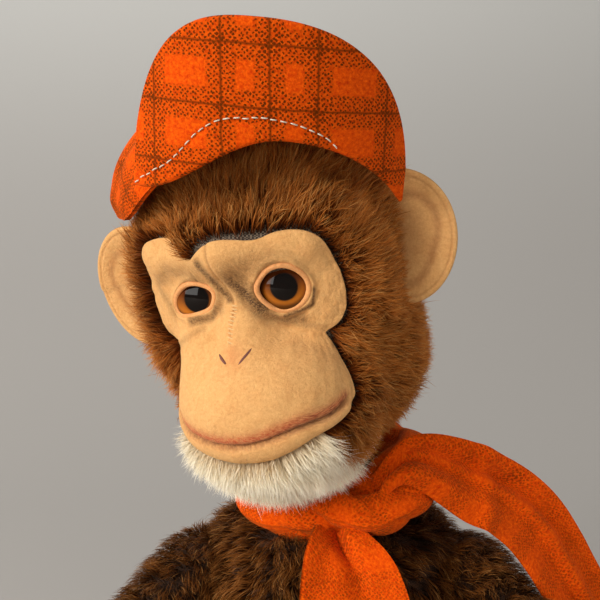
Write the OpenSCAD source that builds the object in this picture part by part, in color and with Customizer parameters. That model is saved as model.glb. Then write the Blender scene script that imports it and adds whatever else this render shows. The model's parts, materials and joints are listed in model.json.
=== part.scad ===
// Cymbal-playing clockwork monkey: mohair plush over a tinplate motor case.
// Sits on +Z = 0 with its front toward -Y. The monkey's left side is +X.

/* [Body] */
// Radius of the belly at its widest, mohair backing included
belly_r = 44; // [42:1:48]
// Thickness of the mohair pelt over the case
pelt_t = 4; // [3:0.5:4.5]
// Wall of the tinplate body case
case_t = 0.8; // [0.5:0.1:1]
// Radius of the wooden base disc
base_r = 35.9; // [30:0.1:36]
// Thickness of the wooden base disc
base_t = 5; // [4:0.5:6]

/* [Head] */
// Height of the neck joint above the seat
neck_z = 124; // [122:1:128]
// Lean of the head away from upright
head_lean = 15; // [8:1:16]
// Compass direction of the lean, from straight ahead toward the monkey's right
head_lean_dir = 50; // [30:1:70]
// Turn of the head about the neck pin at rest
head_turn = -18; // [-40:1:40]
// Radius of the mohair skull
skull_r = 41; // [40:0.5:42]
// Diameter of a glass eye
eye_d = 14; // [12:0.5:15]
// Distance of an eye's centre from the middle of the face
eye_x = 13.5; // [13:0.5:15]
// Height of an ear
ear_h = 40; // [34:1:42]
// Width of an ear
ear_w = 32; // [26:1:34]

/* [Cap and scarf] */
// Turn of the cap on the head toward the monkey's left
cap_turn = 27; // [0:1:40]
// Tip of the cap toward the monkey's left ear
cap_tip = 17; // [0:1:20]
// Radius of the brim's curve around the forehead
brim_r = 45.5; // [45:0.5:48]
// Radius of the scarf where it rings the neck
scarf_ring_r = 24; // [23:0.5:25]
// Half thickness of the rolled scarf at the neck
scarf_roll_r = 8; // [7:0.5:8]
// Width of the scarf's tail over the shoulder
scarf_w = 25; // [20:1:28]

/* [Arms and cymbals] */
// Angle each arm swings between open and the clap
arm_swing = 16; // [10:1:16]
// Diameter of a cymbal
cymbal_d = 50; // [44:1:54]
// Thickness of the cymbal's sheet
cymbal_t = 0.8; // [0.6:0.1:1.2]
// Sideways place of the arm's pivot stud
pivot_x = 26; // [25:0.5:27]
// Height of the arm's pivot stud
pivot_z = 78; // [76:0.5:79]

/* [Legs] */
// Height of the hip joints
hip_z = 18; // [18:0.5:20]
// Radius of the thigh at the hip
thigh_r = 17.5; // [16:0.5:17.5]

/* [Motor] */
// Module of the first gear pair
great_module = 0.8; // [0.8:0.1:0.8]
// Teeth on the great wheel
great_teeth = 48; // [48:12:48]
// Teeth on the cam arbor's pinion
cam_pinion_teeth = 12; // [12:1:12]
// Module of the second gear pair
second_module = 0.6; // [0.6:0.1:0.6]
// Teeth on the second wheel
second_teeth = 40; // [40:10:40]
// Teeth on the governor's pinion
governor_teeth = 10; // [10:1:10]
// Height of the winding arbor
great_z = 46; // [45:0.5:46]
// Sheet thickness of the two motor plates
plate_t = 1.2; // [1:0.1:1.5]
// Distance from the middle of the motor to each plate's inner face
plate_y = 11.8; // [11.8:0.1:12.2]
// Turns of the mainspring at rest
spring_turns = 6; // [4:1:7]
// Width across the winding key's wings
key_w = 30; // [24:1:34]

/* [Hidden] */

$fn = 48;
run_gap = 0.05;   // radial clearance of a running fit
skin_gap = 0.1;   // clearance between pieces of one body
mohair = "saddlebrown";
felt = "burlywood";
flannel = "orangered";

// ---- body outline: radius of the pelt against height ----
torso_outline = [[0.6, 40.6], [8, 42], [20, belly_r - 1.4], [36, belly_r - 1.4], [46, belly_r],
                 [56, belly_r - 1], [64, belly_r - 3], [74, belly_r - 6], [86, 33.5], [94, 30],
                 [102, 28], [116, 27]];
case_top_z = 94;
function torso_r(z) = lookup(z, torso_outline);

// ---- neck and head frame ----
neck = [-5, -4, neck_z];
lean_axis = [cos(head_lean_dir), -sin(head_lean_dir), 0];
column_r = 15.5;
column_h = 18;
neck_disc_r = 13;
neck_disc_t = 1.5;
neck_pin_r = 1.2;
brow_z = 68;
eye_z = 58;
eye_y = -26;
jaw_r = 37;
jaw_z = 37.4;

// ---- cap frame ----
cap_pos = [2, 2, 90];
brim_t = 1.8;
brim_half_w = 36;
crown_r = 44.8;

// ---- arms, given with the cymbals closed ----
arm_shoulder = [40, -6, 74];
arm_middle = [49, -23, 64];
arm_elbow = [58, -40, 54];
arm_wrist = [27, -71, 48];
hand_pos = [18, -78, 46];
shoulder_r = 13;
middle_r = 11.5;
elbow_r = 10.5;
wrist_r = 8.5;
cymbal_pos = [0.4, -80, 46];
dome_h = 6;
wire_r = 1.4;
stud_r = 1.5;
lever_y = -10.4;
lever_t = 1.8;

// ---- legs ----
hip_y = -4;
leg_inner_x = 43.7;
leg_root_w = 16;
knee = [58, -60, 15.3];
ankle = [61, -94, 13.3];

// ---- motor ----
cam_z = great_z + (great_teeth + cam_pinion_teeth) * great_module / 2;
governor_z = cam_z + (second_teeth + governor_teeth) * second_module / 2;
arbor_r = 2.2;
thin_arbor_r = 1.2;
great_y = -3.4;
great_t = 1.8;
second_y = -5.6;
second_t = 1.2;
cam_y = -8.2;
cam_t = 1.5;
fly_y = 2.5;
spring_y = 2;
spring_w = 8;
spring_in_r = 3.6;
spring_out_r = 16.5;
spring_sheet = 0.5;
pillar_r = 2;
pillar_lug_x = 15.5;
pillar_lug_z = 70;
pillar_pos = [[-15, 20], [15, 20], [-pillar_lug_x, pillar_lug_z], [pillar_lug_x, pillar_lug_z]];

// ---------- frames and helpers ----------
module head_frame() {
    translate(neck) rotate(a = head_lean, v = lean_axis) rotate([0, 0, head_turn]) children();
}

module neck_frame() {
    translate(neck) rotate(a = head_lean, v = lean_axis) children();
}

module cap_frame() {
    head_frame() translate(cap_pos) rotate([0, 0, cap_turn]) rotate([0, cap_tip, 0]) children();
}

// One arm at rest: the closed arm swung open about its pivot stud
module arm_frame(side) {
    mirror([side < 0 ? 1 : 0, 0, 0])
        translate([pivot_x, 0, pivot_z]) rotate([0, -arm_swing, 0])
            translate([-pivot_x, 0, -pivot_z]) children();
}

module on_side(side) {
    mirror([side < 0 ? 1 : 0, 0, 0]) children();
}

// A flat shape drawn in X and Z, from y up to y + t
module slab(y, t) {
    translate([0, y + t, 0]) rotate([90, 0, 0]) linear_extrude(t) children();
}

// A rod along Y at (x, z)
module rod_y(x, z, r, y0, y1) {
    translate([x, y1, z]) rotate([90, 0, 0]) cylinder(r = r, h = y1 - y0);
}

// A rod along X at (y, z)
module rod_x(y, z, r, x0, x1) {
    translate([x0, y, z]) rotate([0, 90, 0]) cylinder(r = r, h = x1 - x0);
}

module ball(p, r, fn = 24) {
    translate(p) sphere(r = r, $fn = fn);
}

// A rod from one point to another
module rod(a, b, r, fn = 48) {
    d = b - a;
    translate(a) rotate([0, acos(d[2] / norm(d)), atan2(d[1], d[0])])
        cylinder(r = r, h = norm(d), $fn = fn);
}

// An eight-sided wire between two points, run on a little so that bends close
module wire(a, b, r) {
    over = 0.8 * r * (b - a) / norm(b - a);
    rod(a - over, b + over, r, 8);
}

// ---------- gears ----------
function involute(a) = tan(a) * 180 / PI - a;

function polar(r, a) = [r * cos(a), r * sin(a)];

// Half of a tooth's angle at radius r, for a tooth thinned by the backlash
function tooth_half(z, m, r, backlash) =
    let (pitch_r = z * m / 2, base_r0 = pitch_r * cos(20), rr = max(r, base_r0 + 0.001))
    90 / z - backlash * 90 / (PI * pitch_r) + involute(20) - involute(acos(base_r0 / rr));

function gear_points(z, m, add, ded, backlash) =
    let (pitch_r = z * m / 2, foot_r = pitch_r - ded * m, tip_r = pitch_r + add * m,
         low_r = max(pitch_r * cos(20), foot_r), steps = 4)
    [for (k = [0 : z - 1])
        let (c = k * 360 / z)
        each concat(
            [polar(foot_r, c - tooth_half(z, m, low_r, backlash))],
            [for (i = [0 : steps]) let (r = low_r + (tip_r - low_r) * i / steps)
                polar(r, c - tooth_half(z, m, r, backlash))],
            [for (i = [steps : -1 : 0]) let (r = low_r + (tip_r - low_r) * i / steps)
                polar(r, c + tooth_half(z, m, r, backlash))],
            [polar(foot_r, c + tooth_half(z, m, low_r, backlash))])];

module gear(x, z, y, t, teeth, m, turn, add, ded, backlash) {
    translate([x, y + t, z]) rotate([90, 0, 0]) rotate([0, 0, turn])
        linear_extrude(t) polygon(gear_points(teeth, m, add, ded, backlash));
}

// ---------- base and case ----------
module base_plate() {
    color("tan") difference() {
        cylinder(r = base_r, h = base_t);
        for (p = foot_holes()) {
            translate([p[0], p[1], -1]) cylinder(r = 1.6, h = base_t + 2);
            translate([p[0], p[1], -1]) cylinder(r = 3.2, h = 3.4);
        }
    }
}

function foot_holes() = [for (x = [-10, 10], y = [-1, 1]) [x, y * (plate_y + plate_t + 4)]];

module base_screws() {
    color("silver") for (p = foot_holes()) {
        translate([p[0], p[1], 0.5]) cylinder(r = 3, h = 1.8);
        translate([p[0], p[1], 0.5]) cylinder(r = 1.5, h = base_t + 3);
    }
}

module torso_solid(inset, top_z) {
    rotate_extrude() polygon(concat(
        [[0, torso_outline[0][0]]],
        [for (p = torso_outline) if (p[0] < top_z) [p[1] - inset, p[0]]],
        [[torso_r(top_z) - inset, top_z], [0, top_z]]));
}

// A shell of revolution on the body outline, open at the bottom
module torso_shell(outer_inset, inner_inset, outer_top, inner_top) {
    outside = [for (p = torso_outline) if (p[0] < outer_top) [p[1] - outer_inset, p[0]]];
    inside = [for (p = torso_outline) if (p[0] < inner_top) [p[1] - inner_inset, p[0]]];
    rotate_extrude() polygon(concat(
        outside, [[torso_r(outer_top) - outer_inset, outer_top], [0, outer_top]],
        [[0, inner_top], [torso_r(inner_top) - inner_inset, inner_top]],
        [for (i = [len(inside) - 1 : -1 : 0]) inside[i]]));
}

// The room that the arm's root sweeps, from closed to open
module arm_room() {
    along = (arm_middle - arm_shoulder) / norm(arm_middle - arm_shoulder);
    start = arm_shoulder + [0.6, 0, 2.5];
    rod(start - 14 * along, start + 40 * along, shoulder_r + 3);
}

module side_holes() {
    for (side = [-1, 1]) on_side(side) {
        arm_room();
        rod_x(hip_y, hip_z, 2, 30, 60);
    }
    key_hole();
}

// Eight-sided hole in the back for the winding arbor
module key_hole() {
    translate([0, 70, great_z]) rotate([90, 0, 0]) cylinder(r = 4.4, h = 50, $fn = 8);
}

module body_case() {
    color("slategray") difference() {
        torso_shell(pelt_t + 0.2, pelt_t + 0.2 + case_t, case_top_z, case_top_z - case_t);
        translate([0, 0, -1]) cylinder(r = base_r + skin_gap, h = base_t + 1.5);
        side_holes();
    }
}

module torso_pelt() {
    color(mohair) difference() {
        torso_shell(0, pelt_t, 116, case_top_z + 0.4);
        neck_frame() translate([0, 0, -column_h - 0.2]) cylinder(r = 80, h = 60);
        side_holes();
    }
}

// ---------- motor ----------
module plate_shape(front) {
    translate([-16, base_t + 0.1]) square([32, 50]);
    translate([-12, 50]) square([24, 38]);
    translate([0, governor_z]) circle(r = 7);
    for (side = [-1, 1]) {
        translate([side * pillar_lug_x, pillar_lug_z]) circle(r = 4.5);
        if (front) {
            translate([side * pivot_x, pivot_z]) circle(r = 4);
            translate([side * pivot_x / 2, pivot_z]) square([pivot_x, 6], center = true);
        }
    }
}

module motor_plate(front) {
    y = front ? -plate_y - plate_t : plate_y;
    foot_y = front ? -plate_y - plate_t - 8 : plate_y;
    color("silver") difference() {
        union() {
            slab(y, plate_t) plate_shape(front);
            translate([-14, foot_y, base_t + 0.1]) cube([28, 8 + plate_t, plate_t]);
        }
        rod_y(0, great_z, arbor_r + run_gap, -30, 30);
        rod_y(0, cam_z, thin_arbor_r + run_gap, -30, 30);
        rod_y(0, governor_z, 0.9, -30, 30);
        for (p = pillar_pos) rod_y(p[0], p[1], 1.3, -30, 30);
        for (side = [-1, 1]) rod_y(side * pivot_x, pivot_z, stud_r + 0.02, -30, 0);
        for (p = foot_holes()) translate([p[0], p[1], 0]) cylinder(r = 1.55, h = 12);
    }
}

module motor_front_plate() {
    motor_plate(true);
}

module motor_back_plate() {
    motor_plate(false);
}

module plate_pillars() {
    color("silver") for (p = pillar_pos) {
        rod_y(p[0], p[1], pillar_r, -plate_y, plate_y);
        rod_y(p[0], p[1], 1.25, -plate_y - plate_t - 2.4, plate_y + plate_t + 2.4);
    }
}

module plate_nuts() {
    color("gold") for (p = pillar_pos, s = [-1, 1])
        difference() {
            translate([p[0], s * (plate_y + plate_t + 0.9), p[1]])
                rotate([90, 0, 0]) cylinder(r = 2.8, h = 1.7, center = true, $fn = 6);
            rod_y(p[0], p[1], 1.3, -30, 30);
        }
}

// Runs in the plates' bores; its squared tail carries the key
module winding_arbor() {
    color("silver") {
        rod_y(0, great_z, arbor_r, -plate_y - plate_t - 1, 47);
        rod_y(0, great_z, 3, 0.2, spring_y - 0.4);
        translate([-1.4, 46.5, great_z - 1.4]) cube([2.8, 9, 2.8]);
    }
}

module ratchet_wheel() {
    teeth = 16;
    color("gold") difference() {
        slab(-1.4, 1.2) translate([0, great_z])
            polygon([for (k = [0 : teeth - 1]) each [polar(8.6, k * 360 / teeth),
                                                     polar(7, k * 360 / teeth + 2)]]);
        rod_y(0, great_z, arbor_r + 0.02, -5, 5);
    }
}

// Cast key: a square-bored sleeve and two round wings with holes
module winding_key() {
    wing_r = 8.2;
    wing_y = 58;
    color("silver") difference() {
        union() {
            rod_y(0, great_z, 3.4, 48, wing_y + 1.2);
            for (side = [-1, 1])
                rod_y(side * (key_w / 2 - wing_r / 2), great_z, wing_r, wing_y, wing_y + 1.8);
            translate([-key_w / 4, wing_y, great_z - 3.6]) cube([key_w / 2, 1.8, 7.2]);
        }
        for (side = [-1, 1]) rod_y(side * (key_w / 2 - 3), great_z, 1.7, 55, 70);
        translate([-1.45, 46, great_z - 1.45]) cube([2.9, 9.6, 2.9]);
    }
}

// A flat spiral strip from the arbor out to a pillar
function spiral_r(t) = spring_in_r + (spring_out_r - spring_in_r) * t;

module mainspring() {
    steps = 24 * spring_turns;
    color("slategray") slab(spring_y, spring_w) translate([0, great_z]) polygon(concat(
        [for (i = [0 : steps]) polar(spiral_r(i / steps), 360 * spring_turns * i / steps)],
        [for (i = [steps : -1 : 0])
            polar(spiral_r(i / steps) + spring_sheet, 360 * spring_turns * i / steps)]));
}

module great_wheel() {
    color("gold") difference() {
        gear(0, great_z, great_y, great_t, great_teeth, great_module, 0, 0.8, 1.2, 0.3);
        rod_y(0, great_z, arbor_r + run_gap, -10, 10);
        for (a = [45 : 90 : 315])
            rod_y(11.5 * cos(a), great_z + 11.5 * sin(a), 3.2, -10, 10);
    }
}

// The click sits on the great wheel's back, its tip in the ratchet's teeth
module click() {
    color("silver") {
        rod_y(0, great_z + 13, 1.4, great_y + great_t, 0);
        slab(-1.5, 1.3) polygon([[-1.5, great_z + 14.5], [-6.2, great_z + 9.2], [-5.4, great_z + 8.2],
                                 [1.2, great_z + 11.8], [1.2, great_z + 14.5]]);
    }
}

module click_spring() {
    color("silver") slab(-1.5, 1.3)
        polygon([[-15.4, great_z + 3], [-14.4, great_z + 3], [-10.6, great_z + 10], [-5.6, great_z + 11.4],
                 [-5.8, great_z + 12.2], [-11.4, great_z + 10.8]]);
}

module cam_arbor() {
    color("silver") {
        rod_y(0, cam_z, thin_arbor_r, -plate_y - plate_t - 0.6, plate_y + plate_t + 0.6);
        gear(0, cam_z, great_y - 0.4, great_t + 0.8, cam_pinion_teeth, great_module,
             180 / cam_pinion_teeth, 0.8, 1.25, 0.3);
    }
}

module second_wheel() {
    color("gold") difference() {
        gear(0, cam_z, second_y, second_t, second_teeth, second_module, 0, 0.8, 1.2, 0.3);
        rod_y(0, cam_z, thin_arbor_r + 0.02, -10, 10);
    }
}

// Two lobes lift the arm levers twice in each turn
module arm_cam() {
    low_r = 4.2;
    lobe_r = 10.4;
    color("gold") difference() {
        slab(cam_y, cam_t) translate([0, cam_z])
            polygon([for (a = [0 : 6 : 354]) polar(low_r + (lobe_r - low_r) * pow(cos(a), 2), a)]);
        rod_y(0, cam_z, thin_arbor_r + 0.02, -10, 0);
    }
}

module governor_arbor() {
    color("silver") {
        rod_y(0, governor_z, 0.85, -plate_y - plate_t - 0.4, plate_y + plate_t + 0.4);
        gear(0, governor_z, second_y - 0.4, second_t + 0.8, governor_teeth, second_module,
             0, 0.8, 1.25, 0.3);
    }
}

module governor_fly() {
    color("gold") difference() {
        union() {
            rod_y(0, governor_z, 2, fly_y, fly_y + 6);
            translate([-7.2, fly_y, governor_z - 0.4]) cube([14.4, 6, 0.8]);
        }
        rod_y(0, governor_z, 0.87, 0, 20);
    }
}

// ---------- arms ----------
module arm_pivot_studs() {
    color("silver") for (side = [-1, 1]) {
        rod_y(side * pivot_x, pivot_z, stud_r, -plate_y - plate_t - 0.8, -2.6);
        rod_y(side * pivot_x, pivot_z, 2.8, -2.6, -1.8);
        rod_y(side * pivot_x, pivot_z, 2.4, -plate_y - plate_t - 0.9, -plate_y - plate_t);
    }
}

// Coils around each stud, drawn as closed turns
module arm_springs() {
    coil_r = 2.3;
    spring_wire_r = 0.35;
    color("silver") for (side = [-1, 1], k = [0 : 5])
        translate([side * pivot_x, -6.9 + k * 0.72, pivot_z]) rotate([90, 0, 0])
            rotate_extrude() translate([coil_r, 0]) circle(r = spring_wire_r, $fn = 16);
}

module armature(grow) {
    start = [pivot_x + 6, lever_y + lever_t / 2, pivot_z - 2];
    wire(start, arm_middle, wire_r + grow);
    wire(arm_middle, arm_elbow, wire_r + grow);
    wire(arm_elbow, arm_wrist, wire_r + grow);
    wire(arm_wrist, hand_pos, wire_r + grow);
}

// Flat lever on the pivot stud: a stub into the arm and a tail over the cam
module lever_plate(grow) {
    tail_l = 22;
    tail_drop = 9;
    translate([0, -grow, 0]) slab(lever_y, lever_t + 2 * grow) translate([pivot_x, pivot_z]) {
        circle(r = 4 + grow);
        translate([0, -3 - grow]) square([8 + grow, 5 + 2 * grow]);
        rotate([0, 0, tail_drop - arm_swing]) translate([-tail_l, -2.4]) square([tail_l, 4.4]);
    }
}

module arm_lever(side) {
    color("silver") arm_frame(side) difference() {
        union() {
            lever_plate(0);
            rod_y(pivot_x, pivot_z, 3.6, lever_y, lever_y + 3);
            armature(0);
        }
        rod_y(pivot_x, pivot_z, stud_r + run_gap, -20, 5);
    }
}

module limb(a, ra, b, rb) {
    hull() {
        ball(a, ra, 20);
        ball(b, rb, 20);
    }
}

module arm_solid() {
    limb(arm_shoulder, shoulder_r, arm_middle, middle_r);
    limb(arm_middle, middle_r, arm_elbow, elbow_r);
    limb(arm_elbow, elbow_r, arm_wrist, wrist_r);
}

module arm_sleeve(side) {
    color(mohair) arm_frame(side) difference() {
        arm_solid();
        rod_y(pivot_x, pivot_z, 4.8, -30, 30);
        armature(skin_gap);
        lever_plate(skin_gap);
        hand_shape(skin_gap);
    }
}

module hand_shape(grow) {
    hull() {
        ball(hand_pos + [0, 0, 1.5], 8 + grow, 20);
        ball(hand_pos + [2, -1, -3], 6.5 + grow, 20);
    }
}

module hand(side) {
    color(felt) arm_frame(side) difference() {
        hand_shape(0);
        armature(skin_gap);
        translate(cymbal_pos) rotate([0, 90, 0]) cylinder(r = 6.6, h = dome_h + 6.6);
    }
}

// Sheet brass with a raised dome, rim toward the other cymbal
module cymbal(side) {
    rim = cymbal_d / 2;
    color("gold") arm_frame(side) translate(cymbal_pos) rotate([0, 90, 0]) difference() {
        rotate_extrude() polygon([[0, dome_h], [5, dome_h - 0.8], [8.5, 2.2], [rim, 0],
                                  [rim, cymbal_t], [8.9, 2.2 + cymbal_t],
                                  [5.3, dome_h - 0.8 + cymbal_t], [0, dome_h + cymbal_t]]);
        translate([0, 0, -1]) cylinder(r = 1.6, h = 20);
    }
}

module cymbal_rivet(side) {
    color("gold") arm_frame(side) translate(cymbal_pos) rotate([0, 90, 0]) {
        translate([0, 0, 3.6]) cylinder(r = 1.5, h = 8.4);
        translate([0, 0, 3.2]) cylinder(r = 3.2, h = 1.2);
        translate([0, 0, 11]) cylinder(r = 4, h = 1);
    }
}

// ---------- neck ----------
module neck_column() {
    color("wheat") neck_frame() difference() {
        translate([0, 0, -column_h]) cylinder(r = column_r, h = column_h - 0.5);
        translate([0, 0, -12]) cylinder(r = neck_disc_r + skin_gap, h = 9.6);
        translate([0, 0, -5]) cylinder(r = neck_pin_r + 0.5, h = 10);
    }
}

module neck_disc_lower() {
    color("tan") neck_frame() difference() {
        translate([0, 0, -4.1]) cylinder(r = neck_disc_r, h = neck_disc_t);
        translate([0, 0, -10]) cylinder(r = neck_pin_r + run_gap, h = 20);
    }
}

module neck_disc_upper() {
    color("tan") head_frame() difference() {
        translate([0, 0, 1.2]) cylinder(r = neck_disc_r, h = neck_disc_t);
        translate([0, 0, -10]) cylinder(r = neck_pin_r + 0.02, h = 20);
    }
}

// Cotter pin: an eye above the disc, two legs curled under the lower disc
module neck_pin() {
    color("silver") head_frame() {
        translate([0, 0, -4.6]) cylinder(r = neck_pin_r, h = 7.6);
        translate([0, 0, 2.8]) cylinder(r = 3, h = 1);
        translate([0, 0, -5.4]) cylinder(r = 4, h = 1);
        for (s = [-1, 1]) translate([s * 2.6, 0, -7.2]) rotate([90, 0, 0])
            rotate_extrude() translate([1.8, 0]) circle(r = 0.8, $fn = 20);
    }
}

// ---------- scarf ----------
module ring_shape(grow) {
    neck_frame() translate([3, 1, -scarf_roll_r - 2]) rotate_extrude()
        translate([scarf_ring_r, 0]) circle(r = scarf_roll_r + grow);
}

module scarf_ring() {
    color(flannel) difference() {
        ring_shape(0);
        neck_frame() translate([0, 0, -30]) cylinder(r = column_r + 0.1, h = 40);
        neck_frame() translate([0, 0, -column_h - 20]) cylinder(r = 60, h = 20.1);
    }
}

module knot_shape(grow) {
    hull() {
        ball([4, -33, 104], 6 + grow);
        ball([15, -32, 107], 6.5 + grow);
        ball([8, -36, 102], 6 + grow);
    }
}

module scarf_knot() {
    color(flannel) difference() {
        knot_shape(0);
        ring_shape(skin_gap);
        torso_solid(-skin_gap, 116);
    }
}

// A strip of cloth between two stations: middle, width vector, thickness
module strip(a, wa, b, wb, r) {
    hull() {
        for (s = [-0.5, 0.5]) {
            ball(a + s * wa, r, 10);
            ball(b + s * wb, r, 10);
        }
    }
}

module strips(stations, r) {
    for (i = [0 : len(stations) - 2])
        strip(stations[i][0], stations[i][1], stations[i + 1][0], stations[i + 1][1], r);
}

front_tail = [[[8, -40.5, 97], [22, 0, 0]], [[8, -47.5, 64], [34, 0, 0]]];

shoulder_tail = [[[19, -31, 109], [4, -4, -12]],
                 [[30, -22, 114], [2, -scarf_w * 0.55, -scarf_w * 0.6]],
                 [[42, -14, 112], [-2, -scarf_w * 0.7, -scarf_w * 0.62]],
                 [[60, -12, 100], [-4, -scarf_w * 0.75, -scarf_w * 0.6]],
                 [[78, -12, 84], [-6, -scarf_w * 0.8, -scarf_w * 0.5]],
                 [[87, -12, 66], [-4, -scarf_w * 0.9, -scarf_w * 0.3]]];

module scarf_front_tail() {
    color(flannel) difference() {
        strip(front_tail[0][0], front_tail[0][1], front_tail[1][0], front_tail[1][1], 1.3);
        knot_shape(skin_gap);
    }
}

module scarf_shoulder_tail() {
    color(flannel) difference() {
        strips(shoulder_tail, 1.3);
        ring_shape(skin_gap);
        knot_shape(skin_gap);
    }
}

// ---------- head ----------
module core_shape(grow) {
    translate([0, 2, 64]) sphere(r = 32.5 + grow);
    translate([0, -9.5, brow_z]) sphere(r = 27 + grow);
    translate([0, -4, 36]) sphere(r = 30 + grow);
}

module muzzle_shape(grow) {
    for (x = [-7, 0, 7]) translate([x, -33.5 - (x == 0 ? 1 : 0), 29]) sphere(r = 17 + grow);
    translate([0, -33, 38]) sphere(r = 12 + grow);
}

module beard_shape(grow) {
    hull() for (x = [-9, 9]) ball([x, -28, 15.6], 15 + grow, 20);
}

module eye_ball(side, grow) {
    translate([side * eye_x, eye_y, eye_z]) sphere(r = eye_d / 2 + grow);
}

// Outline of the felt face, seen from the front, in X and Z
face_half = [[7, 78], [16, 79.5], [24, 77], [30, 68], [30, 60], [26, 52], [22.5, 46],
             [24.5, 40], [26, 30], [22, 18]];

module face_prism(grow) {
    right = [for (i = [len(face_half) - 1 : -1 : 0]) [-face_half[i][0], face_half[i][1]]];
    translate([0, -12, 0]) rotate([90, 0, 0]) linear_extrude(60)
        offset(delta = grow) polygon(concat([[0, 74]], face_half, right));
}

module head_stuffing() {
    color("wheat") head_frame() difference() {
        core_shape(0);
        for (s = [-1, 1]) eye_ball(s, skin_gap);
        translate([0, 0, 0]) cylinder(r = 5, h = 8);
    }
}

module head_pelt() {
    color(mohair) head_frame() difference() {
        union() {
            translate([0, 4, 64]) sphere(r = skull_r);
            translate([0, 0, jaw_z]) sphere(r = jaw_r);
        }
        core_shape(skin_gap);
        face_prism(0.3);
        muzzle_shape(skin_gap);
        beard_shape(0.1);
        translate([0, 0, -1]) cylinder(r = neck_disc_r + 0.1, h = neck_disc_t + 2.3);
        translate([0, 0, -1]) cylinder(r = 5, h = 9);
    }
}

module face_felt() {
    color(felt) head_frame() difference() {
        intersection() {
            core_shape(1.5);
            face_prism(0);
        }
        core_shape(0.05);
        muzzle_shape(skin_gap);
        beard_shape(0.1);
        for (s = [-1, 1]) eye_ball(s, 1.2);
    }
}

module muzzle_felt() {
    color(felt) head_frame() difference() {
        muzzle_shape(0);
        core_shape(skin_gap);
        for (s = [-1, 1]) eye_ball(s, 1.2);
    }
}

module chin_pelt() {
    color("ivory") head_frame() difference() {
        beard_shape(0);
        core_shape(skin_gap);
        muzzle_shape(skin_gap);
        translate([0, 0, -1]) cylinder(r = neck_disc_r + 0.2, h = 4);
    }
}

module ear(side) {
    drop = side < 0 ? 7 : 0;
    out = side < 0 ? 44 : 41;
    color(felt) head_frame() difference() {
        translate([side * out, -2, 62 - drop]) rotate([0, 0, side * 14]) slab(-1.2, 2.4)
            polygon([for (a = [0 : 9 : 351]) [ear_w / 2 * cos(a), ear_h / 2 * sin(a)]]);
        translate([0, 4, 64]) sphere(r = skull_r + skin_gap);
        translate([0, 0, jaw_z]) sphere(r = jaw_r + skin_gap);
        translate(cap_pos) rotate([0, 0, cap_turn]) rotate([0, cap_tip, 0]) crown_outer(0.2);
    }
}

module eye(side) {
    color("saddlebrown") head_frame() eye_ball(side, 0);
}

// A rolled felt rim around each glass eye
module eyelids() {
    color(felt) head_frame() difference() {
        for (s = [-1, 1]) translate([s * eye_x, eye_y - 4.4, eye_z]) rotate([90, 0, 0])
            rotate_extrude() translate([6.4, 0]) circle(r = 1, $fn = 20);
        for (s = [-1, 1]) eye_ball(s, 0.05);
        core_shape(1.55);
        muzzle_shape(skin_gap);
    }
}

// ---------- cap ----------
module crown_outer(grow) {
    rotate_extrude() polygon([[0, -15 - grow], [crown_r - 2 + grow, -15 - grow],
                              [crown_r + grow, -11], [crown_r + grow, -3], [42 + grow, 8],
                              [35 + grow, 18], [22 + grow, 24.5], [0, 27 + grow]]);
}

module cap_crown() {
    color(flannel) head_frame() difference() {
        translate(cap_pos) rotate([0, 0, cap_turn]) rotate([0, cap_tip, 0]) crown_outer(0);
        translate([0, 4, 64]) sphere(r = skull_r + skin_gap);
        translate([0, 0, jaw_z]) sphere(r = jaw_r + skin_gap);
        face_prism(2);
        cap_brim_room();
    }
}

// The crown is cut back where the brim stands in front of it
module cap_brim_room() {
    translate(cap_pos) rotate([0, 0, cap_turn]) rotate([0, cap_tip, 0])
        translate([0, -29, -20]) translate([-60, -50, 0]) cube([120, 50, 80]);
}

// Half-round flap turned up against the crown, arched over the forehead
module brim_shape() {
    top = [for (a = [0 : 10 : 180]) [brim_half_w * cos(a), 12 + 27 * sin(a)]];
    bottom = [for (x = [-1 : 0.2 : 1]) [x * brim_half_w * 0.97, 9 - 15.5 * x * x]];
    polygon(concat(top, bottom));
}

module cap_brim() {
    color(flannel) cap_frame() intersection() {
        difference() {
            translate([0, 0, -30]) cylinder(r = brim_r + brim_t, h = 90);
            translate([0, 0, -31]) cylinder(r = brim_r, h = 92);
        }
        slab(-60, 60 - 28.5) brim_shape();
    }
}

// ---------- legs ----------
module hip_discs() {
    color("tan") for (side = [-1, 1]) on_side(side) difference() {
        rod_x(hip_y, hip_z, 7, 33, 34.5);
        rod_x(hip_y, hip_z, 1.2 + run_gap, 30, 40);
    }
}

module hip_pin(side) {
    color("silver") on_side(side) {
        rod_x(hip_y, hip_z, 1.2, 31.6, 51);
        rod_x(hip_y, hip_z, 3, 31.4, 32.6);
        rod_x(hip_y, hip_z, 3, 50, 51.2);
    }
}

module leg_shape(grow) {
    hull() {
        rod_x(hip_y, hip_z, thigh_r + grow, leg_inner_x, leg_inner_x + leg_root_w);
        ball(knee, 14.3 + grow, 28);
        ball(ankle, 12.5 + grow, 28);
    }
}

module leg(side) {
    color(mohair) on_side(side) difference() {
        leg_shape(0);
        rod_x(hip_y, hip_z, 1.3, 40, 50);
        rod_x(hip_y, hip_z, 3.1, 49.9, 51.3);
    }
}

module foot(side) {
    color(felt) on_side(side) difference() {
        hull() {
            ball([61.5, -104, 12.5], 11.5);
            ball([63, -109, 30], 9);
            ball([65, -106, 42], 6);
        }
        leg_shape(skin_gap);
    }
}

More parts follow.
